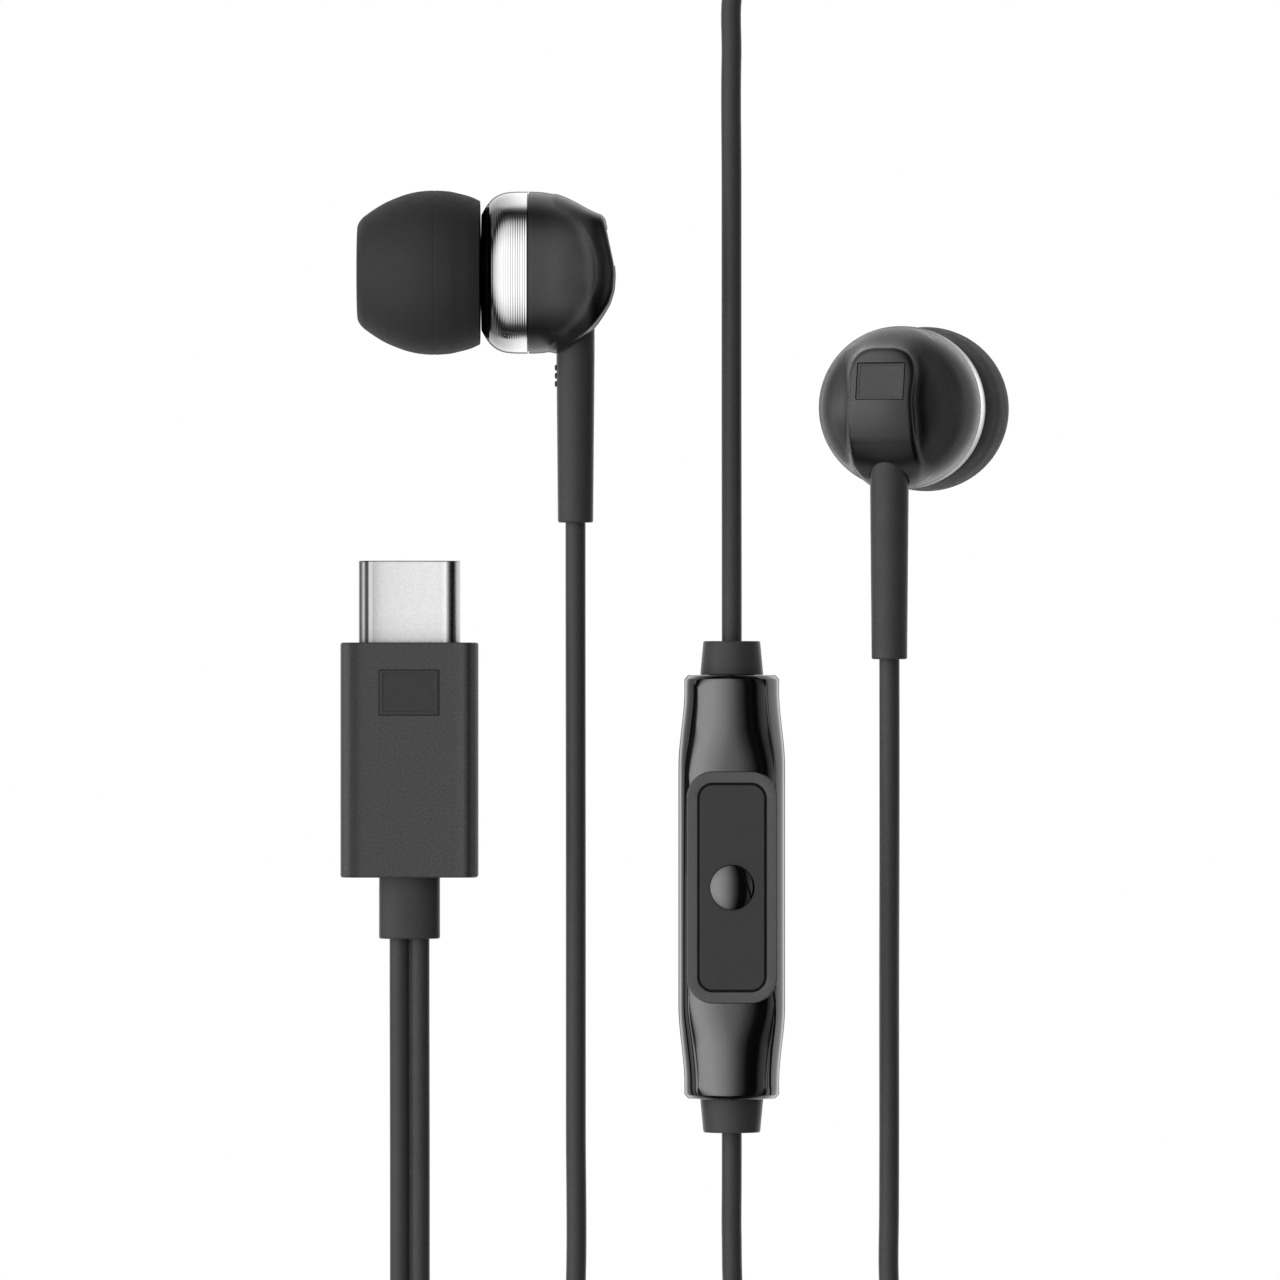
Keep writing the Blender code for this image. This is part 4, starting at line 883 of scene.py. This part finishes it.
def build_front_shell(side, matrix):
    """The gloss front edge, its face and the nozzle, with a sleeve that reaches back inside."""
    start = RING_LENGTH + 0.004
    outline = [(5.2, -1.6), (5.2, start)]
    for step in range(FRONT_STEPS + 1):
        height = start + (SHELL_FRONT - start) * step / FRONT_STEPS
        outline.append((shoulder_radius(height) - 0.01, height))
    outline += rounded_corners([
        (4.5, SHELL_FRONT, 0.0), (NOZZLE_RADIUS, SHELL_FRONT + 0.05, 0.5),
        (NOZZLE_RADIUS, 7.9, 0.4), (NOZZLE_RADIUS + 0.3, 8.4, 0.2),
        (NOZZLE_RADIUS + 0.3, 8.8, 0.2), (NOZZLE_RADIUS - 0.05, NOZZLE_END, 0.12),
        (1.9, NOZZLE_END, 0.1), (1.9, 9.0, 0.0), (1.6, 9.0, 0.0), (1.6, 3.0, 0.0),
        (4.3, 3.0, 0.0), (4.3, 1.7, 0.0), (4.75, 1.7, 0.0), (4.75, -1.6, 0.0),
    ], 5)
    piece(side + "_front_shell", turned(outline), "gloss_black", matrix,
          [side + "_nozzle_shell"], 40.0)


def build_screen(side, matrix):
    """A slightly domed screen with a grid of holes, in the nozzle's mouth."""
    shares = [step / 8.0 for step in range(9)]
    outline = [(SCREEN_RADIUS * share, SCREEN_BACK) for share in shares]
    outline += [(SCREEN_RADIUS * share, SCREEN_RIM + SCREEN_DOME * (1.0 - share ** 2))
                for share in reversed(shares)]
    piece(side + "_screen", turned(outline, 64), "screen", matrix, [side + "_nozzle_mesh"])


# outer outline of the tip: distance behind its front, radius
TIP_OUTLINE = (
    (0.0, 2.9), (0.0, 3.4), (0.06, 3.86), (0.37, 4.36), (0.9, 4.8), (1.58, 5.26), (2.3, 5.68),
    (3.08, 6.02), (3.8, 6.29), (4.59, 6.5), (5.4, 6.62), (6.31, 6.66), (7.0, 6.63), (7.6, 6.57),
    (8.3, 6.41), (9.1, 6.2), (9.98, 5.83),
)
PARTING = 6.31
PARTING_DEPTH, PARTING_WIDTH = 0.03, 0.04


def build_ear_tip(side, matrix):
    """A soft umbrella: thin skirt, thick crown, core tube, and a faint parting line."""
    knots = [Vector((radius, TIP_FRONT - behind, 0.0)) for behind, radius in TIP_OUTLINE]
    outer = [(spot.x, spot.y) for spot in smooth_route(knots, 0.05)]
    line = TIP_FRONT - PARTING
    outer = [
        (r - PARTING_DEPTH * np.exp(-((h - line) / PARTING_WIDTH) ** 2), h) for r, h in outer]
    bore = rounded_corners([
        (TIP_BORE, 12.0, 0.0), (TIP_BORE, TIP_FRONT, 0.28), (outer[0][0] + 0.2, TIP_FRONT, 0.0)])
    rear = outer[-1][0]
    lip = rounded_corners([
        (rear + 0.1, TIP_REAR + 0.35, 0.0), (rear, TIP_REAR, 0.12),
        (rear - 0.58, TIP_REAR, 0.14), (rear - 0.45, TIP_REAR + 0.5, 0.0),
    ], 5)
    inner = [(r - 0.6, h) for r, h in outer[::-6] if TIP_REAR + 0.6 < h < TIP_FRONT - 2.6]
    hollow = rounded_corners([
        (*inner[-1], 0.0), (3.8, 12.4, 0.4), (3.4, 11.6, 0.3), (3.4, 4.2, 0.15),
        (TIP_BORE, 4.2, 0.15), (TIP_BORE, 12.0, 0.0),
    ], 5)
    skirt = [spot for spot in outer if spot[1] > TIP_REAR + 0.4]
    mesh = turned(bore[:-1] + skirt + lip[1:] + inner + hollow[1:-1], 224)
    # the right tip takes the silicone painted lighter, as painted light
    look = "silicone" if side == "left" else "painted_light_silicone"
    piece(side + "_tip", mesh, look, matrix, [side + "_ear_tip"], 50.0, side + "_tip")


DOME_DEPTH = 5.94
DOME_POWER = 2.4
PAD_CROWN = 0.022              # how the pad falls off to its sides, per millimetre
# the pad's back from top to bottom: height over the tip axis, depth behind the ring
PAD_BACK = (
    (6.6, 5.74), (4.63, 6.155), (0.6, 7.0), (-0.3, 7.06), (-1.5, 6.97), (-2.6, 6.62),
    (-3.5, 6.05), (-4.2, 5.5), (-5.0, 4.68), (-5.8, 3.55), (-6.3, 2.45), (-6.6, 1.2),
    (-7.2, -0.6),
)


def blend_low(first, second, width):
    """A smooth minimum of two fields."""
    overlap = np.maximum(width - np.abs(first - second), 0.0) / width
    return np.minimum(first, second) - overlap * overlap * width / 4.0


def blend_high(first, second, width):
    return -blend_low(-first, -second, width)


def housing_field(x, y, depth):
    """Roughly the distance outside the rear housing: a full dome joined to the raised pad."""
    reach = np.hypot(x, y) / HOUSING_RADIUS
    sunk = np.maximum(depth, 0.0) / DOME_DEPTH
    dome = ((reach ** DOME_POWER + sunk ** DOME_POWER) ** (1.0 / DOME_POWER) - 1.0) * 6.3
    heights, depths = np.array(PAD_BACK[::-1]).T
    fine = np.linspace(heights[0], heights[-1], 400)
    profile = np.interp(fine, heights, depths)
    kernel = np.ones(17) / 17.0
    padded = np.pad(profile, 8, mode="edge")
    profile = np.where(fine < 1.2, np.convolve(padded, kernel, mode="valid"), profile)
    slope = np.gradient(profile, fine)
    back = depth - np.interp(y, fine, profile)
    back = back / np.sqrt(1.0 + np.interp(y, fine, slope) ** 2) + PAD_CROWN * x ** 2
    waist = 2.76 - 0.14 * np.exp(-(((y - 0.7) / 1.6) ** 2))
    across = np.abs(x) - waist + 0.45 * np.maximum(-4.6 - y, 0.0) ** 1.3
    top = (y - PAD_BACK[1][0] - 0.308 * (6.15 - depth)) * 0.956
    plan = blend_high(top, across, 2.3)
    pad = blend_high(plan, back, 0.42)
    fade = np.clip((depth - 0.2) / 2.2, 0.0, 1.0)
    pad = pad + 3.0 * (1.0 - fade * fade * (3.0 - 2.0 * fade))
    return blend_low(dome, pad, 1.0)


def housing_reach(*way):
    """How far out the housing's skin lies, on rays from the middle of its rim."""
    low, high = np.full(way[0].shape, 3.0), np.full(way[0].shape, 9.0)
    for _ in range(34):
        middle = (low + high) / 2.0
        outside = housing_field(*(part * middle for part in way)) > 0.0
        high, low = np.where(outside, middle, high), np.where(outside, low, middle)
    return high


SEAM = 0.11                    # the dark gap between the housing and the ring


def rear_housing():
    """The rear housing, found along rays, with a lip that closes the gap from inside."""
    rings, spokes = 150, 320
    tilt = np.linspace(0.0, pi / 2.0, rings)[:-1, None]
    turn = np.linspace(0.0, 2.0 * pi, spokes, endpoint=False)
    way = [np.cos(tilt) * np.cos(turn), np.cos(tilt) * np.sin(turn), np.sin(tilt) + 0.0 * turn]
    reach = housing_reach(*way)
    x, y, depth = (part * reach for part in way)
    rows = [list(zip(*row)) for row in zip(x, y, -depth - SEAM)]
    pole = housing_reach(np.zeros(1), np.zeros(1), np.ones(1))[0]
    rim = HOUSING_RADIUS - 0.2
    inner = [
        [(radius * cos(angle), radius * sin(angle), height) for angle in turn]
        for radius, height in ((5.4, -2.6), (5.4, -0.004), (rim, -0.004), (rim, -SEAM))]
    return skin(inner + rows + [[(0.0, 0.0, -pole - SEAM)] * spokes])


BADGE_RISE = 2.03
BADGE_WIDTH, BADGE_HEIGHT = 4.0, 3.07
BADGE_TILT = radians(11.9)


def badge_place():
    """Matrix of the blank badge on the pad's flat back, Z leaving the earbud backwards."""
    (top, top_depth), (bottom, bottom_depth) = PAD_BACK[1:3]
    share = (top - BADGE_RISE) / (top - bottom)
    depth = top_depth + share * (bottom_depth - top_depth) + 0.06
    return (Matrix.Translation((0.0, BADGE_RISE, -depth)) @ Matrix.Rotation(BADGE_TILT, 4, "X")
            @ Matrix.Rotation(pi, 4, "Y"))


def build_rear_shell(side, matrix, shared):
    """The rear housing, cut for the badge and the cable boot.  Both sides share one mesh."""
    name, nodes = side + "_housing", [side + "_rear_shell"]
    # the left shell takes the copy with painted light and shade on its +X side
    look = "painted_light_shell" if side == "left" else "matte_shell"
    if shared:
        take(bpy.data.objects.new(name, shared.copy()), look, matrix, nodes)
        return shared
    shell = piece(name, rear_housing(), look, matrix, nodes)
    pocket = skin(slab(BADGE_WIDTH, BADGE_HEIGHT, 0.12, -0.34, 1.5, steps=4))
    radius = BOOT_RADIUS + 0.06
    bore = turned([(0.0, 0.0), (radius, 0.0), (radius, 6.0), (0.0, 6.0)], 96)
    place = Matrix.Translation((0.0, -BOOT_TOP + 0.1, -BOOT_SETBACK)) @ ALONG_MINUS_Y
    cut(shell, 42.0, transformed(pocket, badge_place()), transformed(bore, place))
    return shell.data


def build_badge(side, matrix):
    """A blank plate sunk in the pad."""
    outer = (BADGE_WIDTH - 0.12, BADGE_HEIGHT - 0.12, 0.1, -0.3, -0.08, 0.0, 0.04)
    inner = (BADGE_WIDTH - 0.5, BADGE_HEIGHT - 0.5, 0.08, -0.13, -0.08, 0.03, 0.0)
    blank_plate(side + "_badge", outer, inner, badge_place(), matrix, side + "_badge_plate")


def build_boot(side, matrix):
    """The long strain relief, with three small beads round it, one over the other."""
    length = BOOT_END - BOOT_TOP
    hole = CORD / 2.0 + 0.06
    outline = rounded_corners([
        (0.0, 0.0, 0.0), (BOOT_RADIUS, 0.0, 0.15), (BOOT_RADIUS, length * 0.2, 8.0),
        (BOOT_END_RADIUS, length, 0.16), (hole, length, 0.06), (hole, length - 1.2, 0.0),
        (0.0, length - 1.2, 0.0),
    ])
    place = Matrix.Translation((0.0, -BOOT_TOP, -BOOT_SETBACK)) @ ALONG_MINUS_Y
    piece(side + "_boot", transformed(turned(outline, 128), place), "boot_rubber", matrix,
          [side + "_cable_boot"], 50.0)
    top = BOOT_RADIUS + 0.14
    bead = turned(rounded_corners([
        (0.0, 0.0, 0.0), (BEAD_RADIUS, 0.0, 0.0), (BEAD_RADIUS, top, 0.12), (0.0, top, 0.0)]), 32)
    for rise in BEAD_RISES:
        spot = Matrix.Translation((0.0, rise, -BOOT_SETBACK))
        name = side + "_bead_" + str(int(-rise * 10))
        piece(name, transformed(bead, spot), "boot_rubber", matrix)


def build_earbud(side, shared):
    matrix = earbud_frame(side)
    for build in (build_trim_ring, build_front_shell, build_screen, build_ear_tip, build_badge,
                  build_boot):
        build(side, matrix)
    return build_rear_shell(side, matrix, shared)


# ---- remote -------------------------------------------------------------------------------------
BARREL_HALF = 17.2
BARREL_END_RADIUS = 3.85
BARREL_MIDDLE = 4.335
BARREL_WALL = 0.8
END_HOLE = 2.0
SPLIT_GAP = 0.025              # from the plane of the split to each half
SWELL = (9.7, 16.0)            # the stretch from the middle where the width changes
SQUARE = (9.0, 13.2)           # and where the section turns from squarish to round
BEZEL_WIDTH, BEZEL_LENGTH, BEZEL_CORNER = 7.29, 18.74, 2.1
OPENING = (5.67, 17.0, 1.3)    # width, length and corner of the hole in the bezel
BEZEL_BOTTOM, BEZEL_TOP = 2.45, 3.95
FLANGE = (5.63, 16.96, 1.25)
KEY = (5.24, 16.57, 1.06)
KEY_BOTTOM, FLANGE_TOP = 2.95, 3.2
WELL_RADIUS, WELL_BOTTOM = 1.83, 3.6
KNOB_RADIUS, KNOB_BOTTOM, KNOB_TOP = 1.815, 3.65, 4.66
KNOB_SLOPES = (44.0, 33.0)     # slope of the knob at its rim, across and along the remote
KNOB_LEAN = 0.055              # how far the knob's top leans to its left
RELIEF_END, RELIEF_FACE = 2.775, 1.6


def barrel_shape(along):
    """Half the barrel's width, and the power of its section, at this place."""
    start, end = SWELL
    share = ease((abs(along) - start) / (end - start))
    width = BARREL_MIDDLE + (BARREL_END_RADIUS - BARREL_MIDDLE) * share
    return width, 2.6 - 0.6 * ease((abs(along) - SQUARE[0]) / (SQUARE[1] - SQUARE[0]))


def half_section(along, width, height, power, steps=48):
    """An arch from the right to the left of the split, at a place along the barrel."""
    points = []
    for step in range(steps + 1):
        angle = pi * step / steps
        across = abs(cos(angle)) ** (2.0 / power) * width
        rise = max(sin(angle), 0.0) ** (2.0 / power) * (height - SPLIT_GAP)
        points.append((across if angle < pi / 2.0 else -across, along, SPLIT_GAP + rise))
    return points


def barrel_half():
    """Rings of one half of the gloss barrel, hollow, with a small chamfer at each end."""
    end = BARREL_HALF
    half = [(end, 0.33), (end - 0.06, 0.25), (end - 0.28, 0.05), (end - 0.34, 0.0),
            (end - 1.0, 0.0), (end - 1.05, 0.0)]
    half += [(9.0 + 7.0 * step / 36.0, 0.0) for step in range(36, -1, -1)] + [(4.5, 0.0)]
    rings = []
    for along, inset in [(-along, inset) for along, inset in half] + [(0.0, 0.0)] + half[::-1]:
        width, power = barrel_shape(along)
        outer = half_section(along, width - inset, BARREL_END_RADIUS - inset, power)
        if abs(along) > end - 1.02:
            inner = half_section(along, END_HOLE, END_HOLE, 2.0)
        else:
            inner = half_section(along, width - BARREL_WALL, BARREL_END_RADIUS - BARREL_WALL, power)
        rings.append(outer + inner[::-1])
    return rings


def crown_drop(across, slope):
    """How far a crown has fallen at this place, when its slope grows evenly to the rim."""
    bend = radians(slope) / KNOB_RADIUS
    return -log(cos(bend * across)) / bend


def build_barrel():
    """The two gloss halves, the front one with a pocket for the bezel."""
    mesh = skin(barrel_half())
    front = piece("remote_barrel_front", mesh, "gloss_black", REMOTE_FRAME,
                  ["remote_front_shell"], 40.0)
    cut(front, 40.0, skin(slab(BEZEL_WIDTH + 0.08, BEZEL_LENGTH + 0.08, BEZEL_CORNER + 0.04,
                               BEZEL_BOTTOM - 0.05, 6.0, steps=16)))
    piece("remote_barrel_back", transformed(mesh, Matrix.Rotation(pi, 4, "Y")), "gloss_black",
          REMOTE_FRAME, ["remote_back_shell"], 40.0)


def build_key():
    """The bezel, the key in it, and the key's round knob."""
    rings = slab(BEZEL_WIDTH, BEZEL_LENGTH, BEZEL_CORNER, BEZEL_BOTTOM, BEZEL_TOP, 0.0, 0.1, 16)
    rings += levels(*OPENING, 16, (
        (0.04, BEZEL_TOP), (0.01, BEZEL_TOP - 0.01), (0.0, BEZEL_TOP - 0.04), (0.0, BEZEL_BOTTOM)))
    piece("remote_bezel_plate", skin(rings, closed=True), "bezel", REMOTE_FRAME,
          ["remote_bezel"], 40.0, flat=True)

    rings = slab(*FLANGE, KEY_BOTTOM, FLANGE_TOP, steps=16)
    rings += slab(*KEY, FLANGE_TOP, BEZEL_TOP, 0.0, 0.05, 16)
    key = piece("remote_key_cap", skin(rings), "button", REMOTE_FRAME, ["remote_button"], 40.0,
                "remote_key")
    well = [(0.0, WELL_BOTTOM), (WELL_RADIUS, WELL_BOTTOM), (WELL_RADIUS, 5.0), (0.0, 5.0)]
    flat_faces(cut(key, 40.0, turned(well, 160)))

    outline = [(0.0, KNOB_BOTTOM), (KNOB_RADIUS, KNOB_BOTTOM)]
    outline += [(KNOB_RADIUS * (1.0 - step / 32.0), KNOB_TOP) for step in range(33)]
    points, faces = turned(outline, 160)
    crowned = [
        (x, y, z if z < KNOB_TOP else z - crown_drop(x, KNOB_SLOPES[0])
         - crown_drop(y, KNOB_SLOPES[1]) - x * KNOB_LEAN)
        for x, y, z in points]
    piece("remote_key_dome", (crowned, faces), "gloss_black", REMOTE_FRAME,
          ["remote_button_dome"], 60.0, "remote_key")


def build_reliefs():
    """The two tapered glands that hold the cords."""
    hole = CORD / 2.0 + 0.08
    relief = turned(rounded_corners([
        (0.0, -1.8, 0.0), (2.6, -1.8, 0.0), (2.6, -1.2, 0.0), (1.85, -1.2, 0.0),
        (1.85, 0.02, 0.0), (2.565, 0.02, 0.08), (2.305, RELIEF_END, 0.16),
        (hole, RELIEF_END, 0.06), (hole, RELIEF_FACE, 0.0), (0.0, RELIEF_FACE, 0.0),
    ]), 128)
    ends = (("upper", BARREL_HALF, ALONG_Y), ("lower", -BARREL_HALF, ALONG_MINUS_Y))
    for name, end, turn in ends:
        place = Matrix.Translation((0.0, end, 0.0)) @ turn
        piece("remote_" + name + "_relief", transformed(relief, place), "boot_rubber",
              REMOTE_FRAME, ["remote_" + name + "_gland"], 40.0)


# ---- plug ---------------------------------------------------------------------------------------
SLEEVE_WIDTH, SLEEVE_THICK, SLEEVE_LENGTH = 11.18, 5.8, 19.1
METAL_WIDTH, METAL_THICK, METAL_LENGTH = 8.25, 2.4, 6.65
METAL_WALL = 0.3
PLATE_WIDTH, PLATE_HEIGHT, PLATE_RISE = 4.95, 3.75, -4.07
RELIEF_LENGTH, RELIEF_ROUND = 5.0, 0.16
RELIEF_STEM, RELIEF_BODY = (3.6, 2.2), (4.96, 3.4)


def build_plug():
    face = SLEEVE_THICK / 2.0
    rings = slab(SLEEVE_WIDTH, SLEEVE_THICK, 1.25, -SLEEVE_LENGTH, 0.0, 0.2, 0.2, 12)
    sleeve = piece("plug_body", transformed(skin(rings), ALONG_Y), "sleeve", PLUG_FRAME,
                   ["plug_sleeve"], 50.0)
    mouth = skin(slab(METAL_WIDTH + 0.1, METAL_THICK + 0.1, 1.25, -2.0, 1.0, steps=12))
    tail = skin(slab(3.9, 2.5, 0.8, -20.0, -17.5, steps=8))
    pocket = skin(slab(PLATE_WIDTH, PLATE_HEIGHT, 0.1, face - 0.3, 4.0, steps=4))
    place = Matrix.Translation((0.0, PLATE_RISE, 0.0))
    flat_faces(cut(sleeve, 42.0, transformed(mouth, ALONG_Y), transformed(tail, ALONG_Y),
                   transformed(pocket, place)))
    top = face - 0.06
    outer = (PLATE_WIDTH - 0.1, PLATE_HEIGHT - 0.1, 0.08, face - 0.28, top, 0.0, 0.03)
    inner = (PLATE_WIDTH - 0.65, PLATE_HEIGHT - 0.65, 0.06, face - 0.12, top, 0.03, 0.0)
    blank_plate("plug_badge", outer, inner, place, PLUG_FRAME, "plug_badge_plate")

    outer = slab(METAL_WIDTH, METAL_THICK, 1.19, -2.0, METAL_LENGTH, 0.0, 0.12, 14)
    inner = levels(METAL_WIDTH - 2.0 * METAL_WALL, METAL_THICK - 2.0 * METAL_WALL,
                   1.19 - METAL_WALL, 14, (
                       (0.1, METAL_LENGTH), (0.03, METAL_LENGTH - 0.05),
                       (0.0, METAL_LENGTH - 0.15), (0.0, -2.0)))
    piece("plug_metal", transformed(skin(outer + inner, closed=True), ALONG_Y), "nickel",
          PLUG_FRAME, ["plug_shell"], 40.0, flat=True)

    block = transformed(skin(slab(7.35, 1.5, 0.6, -2.2, 6.0, 0.0, 0.08, 8)), ALONG_Y)
    block = piece("plug_tongue_block", block, "chip", PLUG_FRAME, ["plug_insulator"])
    cut(block, None, transformed(skin(slab(6.3, 0.8, 0.1, -1.0, 8.0, steps=4)), ALONG_Y))

    stations = [(1.9, RELIEF_STEM, 0.0, 3.0), (-0.02, RELIEF_STEM, 0.0, 3.0),
                (-0.02, RELIEF_BODY, 0.0, 2.15)]
    for step in range(7):
        angle = pi / 2.0 * step / 6.0
        stations.append((RELIEF_ROUND * (1.0 - sin(angle)) - RELIEF_LENGTH, RELIEF_BODY,
                         RELIEF_ROUND * (1.0 - cos(angle)), 2.15))
    rings = [
        [(x, y, along - SLEEVE_LENGTH)
         for x, y in oval(width - 2.0 * inset, height - 2.0 * inset, power)]
        for along, (width, height), inset, power in stations]
    piece("plug_relief", transformed(skin(rings), ALONG_Y), "boot_rubber", PLUG_FRAME,
          ["plug_gland"], 40.0)


# ---- splitter and tie ---------------------------------------------------------------------------
TIE_WIDTH, TIE_THICK, TIE_HALF = 7.5, 0.6, 2.0     # of the hole, of the band, along the cord
TIE_MIDDLE = 16.25             # from the coil's middle out to the band's


def build_splitter():
    shell = skin(slab(7.0, 18.0, 2.2, 0.02, 1.7, 0.04, 0.5, 12))
    return [
        piece(name, transformed(shell, Matrix.Rotation(turn, 4, "Y")), "matte_shell",
              SPLITTER_FRAME, ["splitter_" + node + "_shell"], 50.0, flat=True)
        for name, turn, node in (("splitter_top", 0.0, "front"), ("splitter_base", pi, "back"))]


def build_tie():
    """A soft band round the coil, hugging the turns."""
    angle = radians(TIE_ANGLE)
    height = node_box("coil_tie")[1].z - 2.0 * TIE_THICK
    centre = (COIL_X + TIE_MIDDLE * cos(angle), COIL_Y + TIE_MIDDLE * sin(angle),
              TIE_THICK + height / 2.0)
    place = (Matrix.Translation(centre) @ Matrix.Rotation(angle, 4, "Z")
             @ Matrix.Rotation(pi / 2.0, 4, "X"))
    edge = [(0.12, -TIE_HALF), (0.03, 0.08 - TIE_HALF), (0.0, 0.2 - TIE_HALF),
            (0.0, TIE_HALF - 0.2), (0.03, TIE_HALF - 0.08), (0.12, TIE_HALF)]
    rings = levels(TIE_WIDTH + 2.0 * TIE_THICK, height + 2.0 * TIE_THICK, 1.4, 8,
                   [(-inset, along) for inset, along in edge])
    rings += levels(TIE_WIDTH, height, 0.8, 8, edge[::-1])
    return piece("tie_band", transformed(skin(rings, closed=True), place), "tie", IN_PLACE,
                 ["coil_tie"], 50.0)


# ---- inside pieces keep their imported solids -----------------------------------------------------
def finish_inside():
    """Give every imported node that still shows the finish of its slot."""
    slots = {entry["node"]: entry["material_slot"] for entry in frame["record"]["subparts"]}
    for node, item in frame["nodes"].items():
        item.data.materials.clear()
        item.data.materials.append(LOOKS[slots[node]])


build_camera()
bpy.context.scene.view_settings.view_transform = "Standard"
cords = build_cords()
build_sky()
build_floor()
finish_inside()
housing = build_earbud("left", None)
build_earbud("right", housing)
build_barrel()
build_key()
build_reliefs()
build_plug()
splitter = build_splitter()
tie = build_tie()
